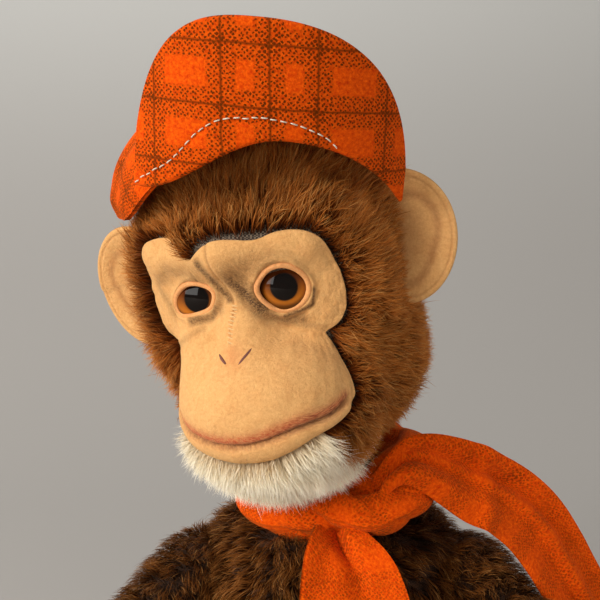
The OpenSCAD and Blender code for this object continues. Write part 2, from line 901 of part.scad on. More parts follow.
base_plate();
base_screws();
body_case();
motor_front_plate();
motor_back_plate();
plate_pillars();
plate_nuts();
winding_arbor();
ratchet_wheel();
winding_key();
mainspring();
great_wheel();
click();
click_spring();
cam_arbor();
second_wheel();
arm_cam();
governor_arbor();
governor_fly();
arm_pivot_studs();
arm_springs();
arm_lever(1);  // arm_lever_left
arm_lever(-1);  // arm_lever_right
arm_sleeve(1);  // arm_sleeve_left
arm_sleeve(-1);  // arm_sleeve_right
hand(1);  // hand_left
hand(-1);  // hand_right
cymbal(1);  // cymbal_left
cymbal(-1);  // cymbal_right
cymbal_rivet(1);  // cymbal_rivet_left
cymbal_rivet(-1);  // cymbal_rivet_right
torso_pelt();
neck_column();
neck_disc_lower();
neck_disc_upper();
neck_pin();
scarf_ring();
scarf_knot();
scarf_front_tail();
scarf_shoulder_tail();
head_stuffing();
head_pelt();
face_felt();
muzzle_felt();
chin_pelt();
ear(1);  // ear_left
ear(-1);  // ear_right
eye(1);  // eye_left
eye(-1);  // eye_right
eyelids();
cap_crown();
cap_brim();
hip_discs();
hip_pin(1);  // hip_pin_left
hip_pin(-1);  // hip_pin_right
leg(1);  // leg_left
leg(-1);  // leg_right
foot(1);  // foot_left
foot(-1);  // foot_right
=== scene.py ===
import json
import math

import bpy
import numpy as np
from mathutils import Matrix, Vector


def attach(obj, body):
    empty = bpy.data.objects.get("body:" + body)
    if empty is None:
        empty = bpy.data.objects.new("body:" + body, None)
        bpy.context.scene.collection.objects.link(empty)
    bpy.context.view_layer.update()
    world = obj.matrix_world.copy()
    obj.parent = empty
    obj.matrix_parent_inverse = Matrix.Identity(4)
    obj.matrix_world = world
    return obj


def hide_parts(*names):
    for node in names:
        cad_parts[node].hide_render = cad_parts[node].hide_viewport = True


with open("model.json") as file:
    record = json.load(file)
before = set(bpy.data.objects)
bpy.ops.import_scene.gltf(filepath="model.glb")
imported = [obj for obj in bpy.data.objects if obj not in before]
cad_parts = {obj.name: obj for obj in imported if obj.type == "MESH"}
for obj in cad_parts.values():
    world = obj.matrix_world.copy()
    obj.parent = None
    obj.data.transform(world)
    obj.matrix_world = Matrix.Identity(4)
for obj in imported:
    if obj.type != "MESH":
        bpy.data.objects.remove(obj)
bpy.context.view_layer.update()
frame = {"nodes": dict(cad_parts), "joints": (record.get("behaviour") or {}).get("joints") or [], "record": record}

# Looks of the mohair monkey. Points are in millimetres until a mesh is made. The head is made in
# its own frame, and its face in coordinates a and b, which run left to right and up over the felt.
MM = 0.001
rng = np.random.default_rng(11)


# ---------- vectors and frames ----------
def unit(v):
    """Vectors along the last axis, at length one."""
    return v / (np.linalg.norm(v, axis=-1, keepdims=True) + 1e-12)


def turn(axis, degrees):
    return np.array(Matrix.Rotation(math.radians(degrees), 3, Vector(axis)))


def smooth(x, low, high):
    t = np.clip((x - low) / (high - low), 0, 1)
    return t * t * (3 - 2 * t)


def bell(x, width, power=2):
    """One at zero, falling off on both sides."""
    return np.exp(-(x / width) ** power)


def joint_named(name):
    return next(j for j in frame["joints"] if j["name"] == name)


NECK = np.array(joint_named("head_turn")["pos_m"]) / MM
LEAN = turn((math.cos(math.radians(50)), -math.sin(math.radians(50)), 0), 15)
HEAD_R = LEAN @ turn((0, 0, 1), -18)
CAP_R = HEAD_R @ turn((0, 0, 1), 27) @ turn((0, 1, 0), 17)
CAP_T = NECK + HEAD_R @ np.array([2, 2, 90.0])
ARM_PIVOT = np.array([26, 0, 78.0])
ARM_SWING = 16


def head_to_row(p):
    return p @ HEAD_R.T + NECK


def neck_to_row(p):
    return p @ LEAN.T + NECK


def cap_to_row(p):
    return p @ CAP_R.T + CAP_T


def arm_to_row(p, side):
    """From the closed arm's frame to its place at rest."""
    q = (p - ARM_PIVOT) @ turn((0, 1, 0), -ARM_SWING).T + ARM_PIVOT
    return q * np.array([side, 1, 1.0])


def noise(p, scale, seed):
    """Smooth sum of sines in about -1 to 1, without a repeat on this scale."""
    local = np.random.default_rng(seed)
    total = 0
    for _ in range(5):
        direction = local.normal(size=3)
        phase = local.uniform(0, 2 * math.pi)
        total = total + np.sin(p @ direction / scale * 2.2 + phase)
    return total / 3.2


# ---------- meshes ----------
def new_object(name, points, groups, material, body, paint=None):
    """A mesh from points in millimetres of the row frame and arrays of faces."""
    mesh = bpy.data.meshes.new(name)
    loops = np.concatenate([g.reshape(-1) for g in groups])
    sizes = np.concatenate([np.full(len(g), g.shape[1]) for g in groups])
    starts = np.concatenate([[0], np.cumsum(sizes)[:-1]])
    mesh.vertices.add(len(points))
    mesh.vertices.foreach_set("co", (np.asarray(points, float) * MM).ravel())
    mesh.loops.add(len(loops))
    mesh.loops.foreach_set("vertex_index", loops.astype(np.int32))
    mesh.polygons.add(len(sizes))
    mesh.polygons.foreach_set("loop_start", starts.astype(np.int32))
    mesh.polygons.foreach_set("use_smooth", np.full(len(sizes), True))
    mesh.update(calc_edges=True)
    mesh.validate()
    if paint is not None:
        add_paint(mesh, paint)
    mesh.materials.append(material)
    obj = bpy.data.objects.new(name, mesh)
    bpy.context.scene.collection.objects.link(obj)
    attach(obj, body)
    return obj


def add_paint(mesh, paint):
    colour = np.ones((len(mesh.vertices), 4), np.float32)
    colour[:, :3] = paint
    layer = mesh.color_attributes.new("paint", "FLOAT_COLOR", "POINT")
    layer.data.foreach_set("color", colour.ravel())


def add_vector(obj, name, values):
    layer = obj.data.attributes.new(name, "FLOAT_VECTOR", "POINT")
    layer.data.foreach_set("vector", np.asarray(values, np.float32).ravel())


def grid_quads(rows, columns, wrap=False, start=0, looped=False):
    """Quads of a grid of points laid out row by row.

    wrap joins the last column to the first, and looped the last row to the first.
    """
    i, j = np.meshgrid(np.arange(rows if looped else rows - 1),
                       np.arange(columns if wrap else columns - 1), indexing="ij")
    k, m = (i + 1) % rows, (j + 1) % columns
    quads = [i * columns + j, i * columns + m, k * columns + m, k * columns + j]
    return start + np.stack(quads, -1).reshape(-1, 4)


def capped_grid(rows, columns, inside_out=False):
    """Faces of a grid closed round its columns, with a cap on its first and its last row."""
    ring = np.arange(columns)[None]
    groups = [grid_quads(rows, columns, True), ring[:, ::-1], (rows - 1) * columns + ring]
    return [g[:, ::-1] for g in groups] if inside_out else groups


def grid_places(rows, columns, low=0.0, high=1.0):
    """u from low to high down the rows, and v once round the columns."""
    return np.meshgrid(np.linspace(low, high, rows), np.arange(columns) / columns, indexing="ij")


def round_direction(u, v):
    """Directions from the upper pole at u of 0 to the lower one at 1."""
    polar, azimuth = math.pi * u, 2 * math.pi * v
    return np.stack([np.sin(polar) * np.cos(azimuth), np.sin(polar) * np.sin(azimuth), np.cos(polar)], -1)


def run_along(path):
    """Distance from the start of a path to each of its points."""
    return np.concatenate([[0], np.cumsum(np.linalg.norm(np.diff(path, axis=0), axis=1))])


def sheet_solid(front, back, rows, columns, wrap=False):
    """Points and quads of a closed sheet from two matching grids of points."""
    count = rows * columns
    points = np.concatenate([front.reshape(-1, 3), back.reshape(-1, 3)])
    quads = [grid_quads(rows, columns, wrap), grid_quads(rows, columns, wrap, count)[:, ::-1]]
    index = np.arange(count).reshape(rows, columns)
    edges = [index[-1]] if wrap else [index[0][::-1], index[:, 0], index[-1], index[:, -1][::-1]]
    if wrap and not np.allclose(front[0], front[0][0]):
        edges.append(index[0][::-1])
    for edge in edges:
        a, b = edge, np.roll(edge, -1)
        if not wrap:
            a, b = edge[:-1], edge[1:]
        quads.append(np.stack([b, a, a + count, b + count], -1))
    return points, [np.concatenate(quads)]


def path_frames(path, up):
    """Unit tangents, sideways and up vectors along a path."""
    tangent = unit(np.gradient(path, axis=0))
    side = unit(np.cross(tangent, up))
    return tangent, side, np.cross(side, tangent)


def smooth_path(points, count):
    """A Catmull-Rom curve through points, sampled count times."""
    p = np.asarray(points, float)
    p = np.concatenate([[2 * p[0] - p[1]], p, [2 * p[-1] - p[-2]]])
    t = np.linspace(0, len(p) - 3, count)
    i = np.minimum(t.astype(int), len(p) - 4)
    f = (t - i)[:, None]
    a, b, c, d = p[i], p[i + 1], p[i + 2], p[i + 3]
    return 0.5 * (2 * b + (c - a) * f + (2 * a - 5 * b + 4 * c - d) * f ** 2
                  + (3 * b - a - 3 * c + d) * f ** 3)


def ring_around(side, top, angle):
    """Circles of unit vectors in the planes of side and top."""
    return side[:, None] * np.cos(angle)[:, None] + top[:, None] * np.sin(angle)[:, None]


def tube(path, radius, sides):
    """Points and faces of a closed tube; radius is one number or one for each point."""
    _, side, top = path_frames(path, np.array([0, 0, 1.0]))
    angle = np.arange(sides) * 2 * math.pi / sides
    r = np.broadcast_to(np.asarray(radius, float), (len(path),))[:, None, None]
    points = (path[:, None] + ring_around(side, top, angle) * r).reshape(-1, 3)
    return points, capped_grid(len(path), sides, True)


def ring_tube(path, radius, sides):
    """A tube along a closed path."""
    tangent = unit(np.roll(path, -1, 0) - np.roll(path, 1, 0))
    side = unit(np.cross(tangent, unit(path - path.mean(0))))
    angle = np.arange(sides) * 2 * math.pi / sides
    points = (path[:, None] + ring_around(side, np.cross(side, tangent), angle) * radius).reshape(-1, 3)
    return points, [grid_quads(len(path), sides, True, looped=True)[:, ::-1]]


def merged(parts):
    """Several (points, groups) as one."""
    points, groups, start = [], [], 0
    for p, g in parts:
        points.append(p)
        groups += [faces + start for faces in g]
        start += len(p)
    return np.concatenate(points), groups


# ---------- the head's form, as a signed distance in its own frame ----------
def ellipsoid(p, centre, radii, power=2.0):
    q = np.abs(p - np.array(centre, float))
    f = np.sum((q / np.array(radii, float)) ** power, axis=-1) ** (1 / power) + 1e-9
    return np.linalg.norm(q, axis=-1) * (1 - 1 / f)


def capsule(p, a, b, r):
    a, b = np.array(a, float), np.array(b, float)
    h = np.clip((p - a) @ (b - a) / ((b - a) @ (b - a)), 0, 1)
    return np.linalg.norm(p - a - h[..., None] * (b - a), axis=-1) - r


def blended(a, b, k):
    h = np.clip(0.5 + 0.5 * (b - a) / k, 0, 1)
    return b * (1 - h) + a * h - k * h * (1 - h)


def head_form(p):
    q = p.copy()
    q[..., 0] = np.abs(q[..., 0])
    d = ellipsoid(p, (0, 3, 66), (33, 33, 34))
    d = blended(d, ellipsoid(p, (0, -1, 37), (33.5, 31, 30)), 10)
    d = blended(d, ellipsoid(p, (0, 2, 27), (33, 29, 25)), 8)
    d = blended(d, ellipsoid(p, (0, -8, 57), (33.5, 24, 29), 2.7), 5)
    d = blended(d, capsule(q, (0, -32, 72), (20, -25, 72), 7), 6)
    d = blended(d, capsule(p, (1, -26, 60), (1.6, -36, 44), 6.5), 6)
    d = blended(d, ellipsoid(p, (2, -31, 28.5), (24.5, 22, 18.5)), 5)
    d = blended(d, capsule(p, (-11, -30, 45), (-10, -33, 38), 9), 5)
    d = blended(d, capsule(p, (-18, -26, 27), (22, -26, 27), 6.2), 5)
    return blended(d, ellipsoid(p, (2, -26, 18), (22, 18, 15.5)), 5)


def gradient(form, p, step=0.25):
    parts = []
    for axis in range(3):
        e = np.zeros(3)
        e[axis] = step
        parts.append(form(p + e) - form(p - e))
    return unit(np.stack(parts, -1))


def cast(form, origin, directions, start):
    """Where rays from inside reach the form's surface."""
    t = np.full(directions.shape[:-1], float(start))
    for _ in range(60):
        t = t - 0.8 * form(origin + directions * t[..., None])
    return origin + directions * t[..., None]


FACE_CENTRE = np.array([0, -6, 46.0])
FACE_SCALE = 34
FACE_MIDDLE = 2
OUTLINE_STEPS = 720
EYE_SLANT = 0.18


def face_direction(a, b):
    return unit(np.stack([a, np.full_like(a, -FACE_SCALE), b], -1))


def face_coordinates(p):
    q = p - FACE_CENTRE
    forward = np.maximum(-q[..., 1], 1e-3)
    return FACE_SCALE * q[..., 0] / forward, FACE_SCALE * q[..., 2] / forward


# Middle, half width and half height of each eye opening
EYES = {1: (19.5, 18.5, 10.5, 8.5), -1: (-16, 17, 10.5, 7)}


def mouth_level(a):
    """A shallow downward bow, lifted beside the middle."""
    return -16.5 - 0.005 * a ** 2 + 1.6 * bell(a - 13, 8)


def lip_edge(a):
    """The felt's lower edge, under the lip."""
    return -22 - 0.0025 * a ** 2 + 2.5 * bell(a - 16, 8)


def face_lobes(a, b):
    """Below zero on the felt: two brow lobes and their bridge over a square muzzle that ends at the lip."""
    p = np.stack([a, b, 0 * a], -1)
    d = ellipsoid(p, (31, 19, 0), (22, 20, 20), 2.3)
    d = blended(d, ellipsoid(p, (-33, 22, 0), (22, 21, 20), 2.4), 4)
    d = blended(d, ellipsoid(p, (6, 9, 0), (25, 24, 20)), 5)
    d = blended(d, ellipsoid(p, (0, -17, 0), (37, 19, 20), 4), 4)
    return np.maximum(d, lip_edge(a) - b)


def face_outline(count):
    """The whole outline as radius against angle about the face's middle."""
    at = np.arange(count) * 2 * math.pi / count
    reach = np.linspace(5, 75, 561)
    a, b = np.cos(at)[:, None] * reach, FACE_MIDDLE + np.sin(at)[:, None] * reach
    inside = face_lobes(a, b) < 0
    radius = reach[len(reach) - 1 - np.argmax(inside[:, ::-1], 1)]
    kernel = np.array([1, 3, 4, 3, 1]) / 12
    for _ in range(3):
        radius = np.convolve(np.concatenate([radius[-2:], radius, radius[:2]]), kernel, "valid")
    return at, radius


OUTLINE_ANGLE, OUTLINE_RADIUS = face_outline(OUTLINE_STEPS)


def outline_ratio(a, b):
    """How far a face coordinate is along its ray to the outline; one is on it."""
    angle = np.mod(np.arctan2(b - FACE_MIDDLE, a), 2 * math.pi)
    radius = np.interp(angle, np.append(OUTLINE_ANGLE, 2 * math.pi),
                       np.append(OUTLINE_RADIUS, OUTLINE_RADIUS[0]))
    return np.hypot(a, b - FACE_MIDDLE) / radius


# ---------- materials ----------
class Shader:
    """A short way to build a node material."""

    def __init__(self, name, roughness=0.8, metallic=0.0):
        self.material = bpy.data.materials.new(name)
        self.material.use_nodes = True
        self.tree = self.material.node_tree
        self.out = self.tree.nodes["Principled BSDF"]
        self.set(self.out, "Roughness", roughness)
        self.set(self.out, "Metallic", metallic)

    def set(self, node, socket, value):
        target = node.inputs[socket]
        if isinstance(value, bpy.types.NodeSocket):
            self.tree.links.new(value, target)
        else:
            target.default_value = value

    def node(self, kind, settings=None, **inputs):
        made = self.tree.nodes.new(kind)
        for key, value in (settings or {}).items():
            setattr(made, key, value)
        for key, value in inputs.items():
            self.set(made, key.replace("_", " "), value)
        return made

    def math(self, operation, *values, clamp=False):
        made = self.tree.nodes.new("ShaderNodeMath")
        made.operation = operation
        made.use_clamp = clamp
        for i, value in enumerate(values):
            self.set(made, i, value)
        return made.outputs[0]

    def times(self, a, b, clamp=False):
        return self.math("MULTIPLY", a, b, clamp=clamp)

    def plus(self, a, b, clamp=False):
        return self.math("ADD", a, b, clamp=clamp)

    def minus(self, a, b, clamp=False):
        return self.math("SUBTRACT", a, b, clamp=clamp)

    def most(self, a, b):
        return self.math("MAXIMUM", a, b)

    def above(self, value, floor, gain):
        """How far a value is over a floor, times a gain, from 0 to 1."""
        return self.times(self.minus(value, floor), gain, clamp=True)

    def mix(self, factor, a, b, blend="MIX"):
        made = self.tree.nodes.new("ShaderNodeMix")
        made.data_type = "RGBA"
        made.blend_type = blend
        self.set(made, 0, factor)
        for i, value in ((6, a), (7, b)):
            self.set(made, i, value if isinstance(value, bpy.types.NodeSocket) else (*value, 1))
        return made.outputs[2]

    def attribute(self, name, output):
        return self.node("ShaderNodeAttribute", {"attribute_name": name}).outputs[output]

    def noise(self, scale, vector=None, detail=4.0, roughness=0.55):
        made = self.node("ShaderNodeTexNoise", Scale=scale, Detail=detail, Roughness=roughness)
        if vector is None:
            vector = self.node("ShaderNodeTexCoord").outputs["Object"]
        self.set(made, "Vector", vector)
        return made.outputs[0]

    def look(self, **inputs):
        """Sockets of the surface itself, with underscores for spaces."""
        for key, value in inputs.items():
            self.set(self.out, key.replace("_", " "), value)

    def bump(self, height, strength, distance):
        made = self.node("ShaderNodeBump", Strength=strength, Distance=distance, Height=height)
        self.set(self.out, "Normal", made.outputs[0])


def srgb(r, g, b):
    """Linear colour of an 8-bit sRGB one."""
    values = []
    for v in (r, g, b):
        c = v / 255
        values.append(c / 12.92 if c <= 0.04045 else ((c + 0.055) / 1.055) ** 2.4)
    return tuple(values)


def fur_material(name, sheen, tint):
    s = Shader(name, roughness=0.5)
    paint = s.attribute("paint", "Color")
    s.look(Base_Color=paint, Specular_IOR_Level=0.22, Specular_Tint=(*tint, 1), Sheen_Weight=sheen,
           Sheen_Roughness=0.4, Sheen_Tint=(*tint, 1), Anisotropic=0.3)
    glow = s.node("ShaderNodeBsdfTranslucent", Color=paint)
    both = s.node("ShaderNodeMixShader", Fac=0.25)
    s.tree.links.new(s.out.outputs[0], both.inputs[1])
    s.tree.links.new(glow.outputs[0], both.inputs[2])
    s.tree.links.new(both.outputs[0], s.tree.nodes["Material Output"].inputs[0])
    return s.material


def backing_material(name, dark, light):
    """Woven ground that the pile stands in."""
    s = Shader(name, roughness=0.95)
    coordinate = s.node("ShaderNodeTexCoord").outputs["Object"]
    weave = s.node("ShaderNodeTexChecker", Scale=1900.0, Vector=coordinate).outputs[1]
    cloudy = s.noise(160.0)
    share = s.times(weave, cloudy)
    s.look(Base_Color=s.mix(share, dark, light))
    s.bump(weave, 0.4, 0.0003)
    return s.material


def felt_material(name, colour=None):
    """Pressed wool felt with short fibres, in one colour or with the paint attribute, which holds airbrushing and
    painted shade.
    """
    s = Shader(name, roughness=0.94)
    fibre = s.noise(1100.0, detail=7.0, roughness=0.8)
    cloudy = s.noise(330.0, detail=4.0, roughness=0.65)
    base = s.mix(0.0, colour, colour) if colour else s.attribute("paint", "Color")
    spots = s.above(fibre, 0.36, 2.6)
    darker = s.mix(s.times(spots, 0.5), base, (0.50, 0.30, 0.17), "MULTIPLY")
    veins = s.above(cloudy, 0.42, 2.2)
    veined = s.mix(s.times(veins, 0.3), darker, (0.75, 0.45, 0.22), "MULTIPLY")
    s.look(Base_Color=veined, Specular_IOR_Level=0.12, Sheen_Weight=0.22, Sheen_Roughness=0.5,
           Sheen_Tint=(1.0, 0.72, 0.42, 1.0), Subsurface_Weight=0.05,
           Subsurface_Radius=(0.0012, 0.0006, 0.0003))
    s.bump(s.plus(fibre, s.times(cloudy, 1.5)), 0.8, 0.0006)
    return s.material


# Lines of the check in millimetres of cloth: across it a single line and three close ones repeat,
# and along it the lines are evenly spaced
CHECK_ACROSS = [-3 + 61 * block + step for block in (-1, 0, 1, 2) for step in (-30, -11.5, 0, 11.5)]
CHECK_ALONG = [3 + 15 * line for line in range(-3, 9)]
BAND_ACROSS = 3.9
BAND_ALONG = 4.3
CHECK_LINE = 0.52


def band(s, coordinate, lines, half_width):
    """One inside the bands around the lines, and a value that falls to zero outside."""
    total = None
    for line in lines:
        away = s.math("ABSOLUTE", s.minus(coordinate, float(line)))
        inside = s.minus(1.0, s.math("DIVIDE", away, half_width), clamp=True)
        total = inside if total is None else s.most(total, inside)
    return total


def flannel_material(name, lined, dotted):
    """Brushed wool check: orange ground, bands of dark dots with a solid line in each.

    lined is the strength of the lines and the evenness of the dots, dotted that of the dots.
    """
    s = Shader(name, roughness=0.95)
    cloth = s.attribute("cloth", "Vector")
    wobble = s.noise(0.16, cloth, detail=2.0)
    split = s.node("ShaderNodeSeparateXYZ", Vector=cloth)
    across = s.plus(split.outputs[0], s.times(wobble, 0.9))
    along = s.plus(split.outputs[1], s.times(wobble, 0.9))
    fibre = s.noise(0.95, cloth, detail=5.0, roughness=0.72)
    cloudy = s.noise(0.14, cloth, detail=3.0)
    tilted = s.node("ShaderNodeMapping", Vector=cloth, Rotation=(0, 0, math.radians(45)))
    ragged = s.node("ShaderNodeVectorMath", {"operation": "ADD"})
    s.set(ragged, 0, tilted.outputs[0])
    s.set(ragged, 1, s.node("ShaderNodeTexNoise", Scale=1.3, Vector=cloth).outputs[1])
    dots = s.node("ShaderNodeTexVoronoi", {"voronoi_dimensions": "2D"}, Scale=1.05, Randomness=0.42,
                  Vector=ragged.outputs[0]).outputs[0]
    band_a, band_b = band(s, across, CHECK_ACROSS, BAND_ACROSS), band(s, along, CHECK_ALONG, BAND_ALONG)
    wide = s.most(band_a, band_b)
    crossed = s.times(band_a, band_b)
    in_band = s.times(wide, 7.0, clamp=True)
    size = s.plus(0.37, s.times(crossed, 0.2))
    dot = s.above(size, dots, 6.0)
    line = s.most(band(s, across, CHECK_ACROSS, CHECK_LINE), band(s, along, CHECK_ALONG, CHECK_LINE))
    bare = 0.4 * (1 - lined)
    patchy = s.above(cloudy, bare, 1 / (1 - bare))
    dot = s.times(dot, s.plus(dotted * lined, s.times(patchy, dotted)), clamp=True)
    marks = s.most(s.times(dot, in_band), s.times(line, 0.95 * lined, clamp=True))
    marks = s.times(marks, s.plus(0.5, s.times(fibre, 0.75)), clamp=True)
    mottle = s.plus(0.5, s.times(s.minus(fibre, 0.5), 2.6), clamp=True)
    ground = s.mix(mottle, srgb(180, 34, 0), srgb(248, 102, 10))
    ground = s.mix(s.times(cloudy, 0.3), ground, srgb(226, 72, 2))
    shaded = s.mix(s.times(in_band, 0.2 * lined), ground, srgb(146, 62, 2))
    s.look(Base_Color=s.mix(marks, shaded, srgb(72, 32, 2)), Specular_IOR_Level=0.06, Sheen_Weight=0.2,
           Sheen_Roughness=0.45, Sheen_Tint=(1.0, 0.38, 0.08, 1.0))
    s.bump(s.plus(fibre, s.times(dots, 0.3)), 0.75, 0.0006)
    return s.material


def metal_material(name, colour, roughness, scale, depth=0.00004, streak=(1, 1, 1)):
    """Worked metal with tarnish in clouds and fine marks along one direction."""
    s = Shader(name, roughness=roughness, metallic=1.0)
    coordinate = s.node("ShaderNodeTexCoord").outputs["Object"]
    stretched = s.node("ShaderNodeMapping", Vector=coordinate, Scale=streak)
    marks = s.noise(scale, stretched.outputs[0], detail=6.0)
    tarnish = s.noise(90.0, detail=4.0)
    dark = tuple(c * 0.45 for c in colour)
    s.look(Base_Color=s.mix(s.times(tarnish, 0.75), colour, dark),
           Roughness=s.plus(roughness - 0.1, s.times(tarnish, 0.3)))
    s.bump(marks, 0.35, depth)
    return s.material


def wood_material(name):
    s = Shader(name, roughness=0.6)
    coordinate = s.node("ShaderNodeTexCoord").outputs["Object"]
    stretched = s.node("ShaderNodeMapping", Vector=coordinate, Scale=(1.0, 9.0, 9.0))
    grain = s.node("ShaderNodeTexWave", Scale=26.0, Distortion=5.0, Detail=4.0, Vector=stretched.outputs[0])
    fine = s.noise(320.0, stretched.outputs[0])
    s.look(Base_Color=s.mix(grain.outputs[1], srgb(196, 156, 104), srgb(150, 106, 62)))
    s.bump(s.plus(fine, grain.outputs[1]), 0.3, 0.0001)
    return s.material


def fibre_material(name, colour):
    s = Shader(name, roughness=0.85)
    grain = s.noise(700.0, detail=6.0)
    s.look(Base_Color=s.mix(grain, colour, tuple(c * 0.5 for c in colour)))
    s.bump(grain, 0.4, 0.0002)
    return s.material


def glass_material(name):
    """Painted under clear glass: the coat is the glass, and the paint is in the mesh."""
    s = Shader(name, roughness=0.5)
    streak = s.noise(900.0, detail=3.0)
    paint = s.attribute("paint", "Color")
    s.look(Base_Color=s.mix(s.times(streak, 0.2), paint, (0.02, 0.008, 0.002)), Coat_Weight=0.42,
           Coat_Roughness=0.015, Coat_IOR=1.45, Specular_IOR_Level=0.0)
    return s.material


def thread_material(name, colour, shine):
    s = Shader(name, roughness=0.7 - shine)
    ply = s.node("ShaderNodeTexWave", Scale=1400.0, Distortion=1.0).outputs[1]
    s.look(Base_Color=s.mix(ply, colour, tuple(c * 0.6 for c in colour)))
    s.bump(ply, 0.4, 0.0001)
    return s.material


# ---------- fur ----------
STRAND_AT = np.array([0.0, 0.36, 0.7, 1.0])
STRAND_WIDTH = np.array([1.0, 0.9, 0.62])
MAX_STRANDS = 39000


def clump_pull(roots, tips, cell, amount):
    """Moves each tip part of the way to the middle of its tuft's tips."""
    jitter = noise(roots, cell * 1.4, 5)[:, None] * cell * 0.5
    key = np.floor((roots + jitter) / cell).astype(np.int64)
    code = key[:, 0] * 73856093 ^ key[:, 1] * 19349663 ^ key[:, 2] * 83492791
    _, index = np.unique(code, return_inverse=True)
    counts = np.bincount(index)
    middle = np.stack([np.bincount(index, tips[:, k]) / counts for k in range(3)], -1)
    return (middle[index] - tips) * amount


def strand_points(roots, normals, flow, length, style):
    """Seven points for each strand: three pairs up its length, and its tip."""
    count = len(roots)
    wave = np.stack([noise(roots, style["wave"], 20 + k) for k in range(3)], -1)
    scatter = rng.normal(size=(count, 3))
    comb = unit(flow + 0.55 * style["mess"] * wave + style["scatter"] * scatter)
    comb = unit(comb - normals * np.sum(comb * normals, -1, keepdims=True))
    lift = style["lift"] + 0.15 * rng.normal(size=(count, 1))
    first = unit(normals * (lift + 0.5) + comb * (1 - lift))
    last = unit(normals * (lift - style["bend"]) + comb * (1 - lift + style["bend"]) + 0.15 * scatter)
    length = length[:, None]
    tips = roots + length * (0.5 * first + 0.5 * last)
    pull = clump_pull(roots, tips, style["tuft"], style["clump"])
    across = unit(np.cross(last, normals) + 0.35 * rng.normal(size=(count, 3)))
    half = 0.5 * style["width"] * (0.7 + 0.6 * rng.random((count, 1)))
    rows = []
    for at, wide in zip(STRAND_AT[:3], STRAND_WIDTH):
        middle = roots + length * (at * first + 0.5 * at ** 2 * (last - first)) + pull * at ** 1.6
        rows += [middle - across * half * wide, middle + across * half * wide]
    rows.append(tips + pull)
    return np.stack(rows, 1)


def strand_paint(roots, style):
    """Colour at each of a strand's seven points, from its dark root to its tip."""
    count = len(roots)
    root, middle, tip = (np.array(c) for c in style["colours"])
    cloudy = 0.5 + 0.5 * noise(roots, style["patch"], 31)[:, None]
    pick = np.clip(0.55 * cloudy + 0.45 * rng.random((count, 1)), 0, 1)
    body = middle * (0.62 + 0.6 * pick)
    end = middle * 0.35 + tip * (0.35 + 0.6 * pick)
    if "pale" in style:
        rare = rng.random((count, 1)) < style["pale"]
        end = np.where(rare, np.array(style["pale_colour"]), end)
    deep = np.broadcast_to(root, body.shape)
    low = deep * 0.35 + body * 0.65
    return np.stack([deep, deep, low, low, body * 0.5 + end * 0.5, body * 0.5 + end * 0.5, end], 1)


def add_fur(name, roots, normals, flow, length, style, material, body):
    """Mohair strands as thin ribbons, split so that no piece is too heavy."""
    pieces = max(1, math.ceil(len(roots) / MAX_STRANDS))
    made = []
    for part in range(pieces):
        pick = slice(part, None, pieces)
        count = len(roots[pick])
        points = strand_points(roots[pick], normals[pick], flow[pick], length[pick], style)
        paint = strand_paint(roots[pick], style)
        base = np.arange(count)[:, None] * 7
        quads = np.concatenate([base + [0, 1, 3, 2], base + [2, 3, 5, 4]])
        title = name if pieces == 1 else f"{name}_{part + 1}"
        obj = new_object(title, points.reshape(-1, 3), [quads, base + [4, 5, 6]], material, body,
                         paint.reshape(-1, 3))
        add_strand_map(obj.data, count)
        made.append(obj)
    return made


def add_strand_map(mesh, count):
    """A small cell of the bake map for each strand, root at the bottom."""
    cells = math.ceil(math.sqrt(count))
    index = np.arange(count)
    corner = np.stack([index % cells, index // cells], -1) / cells
    inner = np.array([[0.2, 0.1], [0.8, 0.1], [0.2, 0.4], [0.8, 0.4], [0.2, 0.7], [0.8, 0.7], [0.5, 0.9]])
    place = (corner[:, None] + inner / cells).reshape(-1, 2)
    loops = np.zeros(len(mesh.loops), np.int32)
    mesh.loops.foreach_get("vertex_index", loops)
    layer = mesh.uv_layers.new(name="OFBake")
    layer.data.foreach_set("uv", place[loops].astype(np.float32).ravel())


def scatter_on(surface, area, density):
    """Random points over a grid of cells: surface(u, v) gives points, area their cell sizes."""
    rows, columns = area.shape
    wanted = int(area.sum() * density)
    cell = rng.choice(area.size, wanted, p=(area / area.sum()).ravel())
    u = (cell // columns + rng.random(wanted)) / rows
    v = (cell % columns + rng.random(wanted)) / columns
    return surface(u, v)


def cell_areas(surface, rows, columns):
    u, v = np.meshgrid(np.linspace(0, 1, rows + 1), np.linspace(0, 1, columns + 1), indexing="ij")
    p = surface(u.ravel(), v.ravel()).reshape(rows + 1, columns + 1, 3)
    a = p[1:, 1:] - p[:-1, :-1]
    b = p[1:, :-1] - p[:-1, 1:]
    return 0.5 * np.linalg.norm(np.cross(a, b), axis=-1)


BROWN = (srgb(36, 15, 4), srgb(136, 63, 16), srgb(232, 150, 68))
SHAGGY = (srgb(24, 10, 3), srgb(84, 42, 12), srgb(158, 98, 44))
WHITE = (srgb(216, 188, 146), srgb(255, 242, 212), srgb(255, 253, 242))

HEAD_STYLE = {"wave": 3.5, "mess": 1.25, "lift": 0.6, "bend": 0.45, "tuft": 2.5, "clump": 0.6,
              "width": 0.23, "patch": 12, "colours": BROWN, "pale": 0.28,
              "pale_colour": srgb(226, 166, 92), "scatter": 0.5}
BEARD_STYLE = {"wave": 4, "mess": 0.7, "lift": 0.72, "bend": 0.3, "tuft": 1.6, "clump": 0.34,
               "width": 0.2, "patch": 10, "colours": WHITE, "scatter": 0.6}
BODY_STYLE = {"wave": 6, "mess": 1.6, "lift": 0.55, "bend": 0.5, "tuft": 4.2, "clump": 0.56,
              "width": 0.26, "patch": 12, "colours": SHAGGY, "pale": 0.14,
              "pale_colour": srgb(206, 146, 82), "scatter": 0.4}


# ---------- head and face ----------
def head_surface(u, v):
    return cast(head_form, FACE_CENTRE, round_direction(u, v), 25)


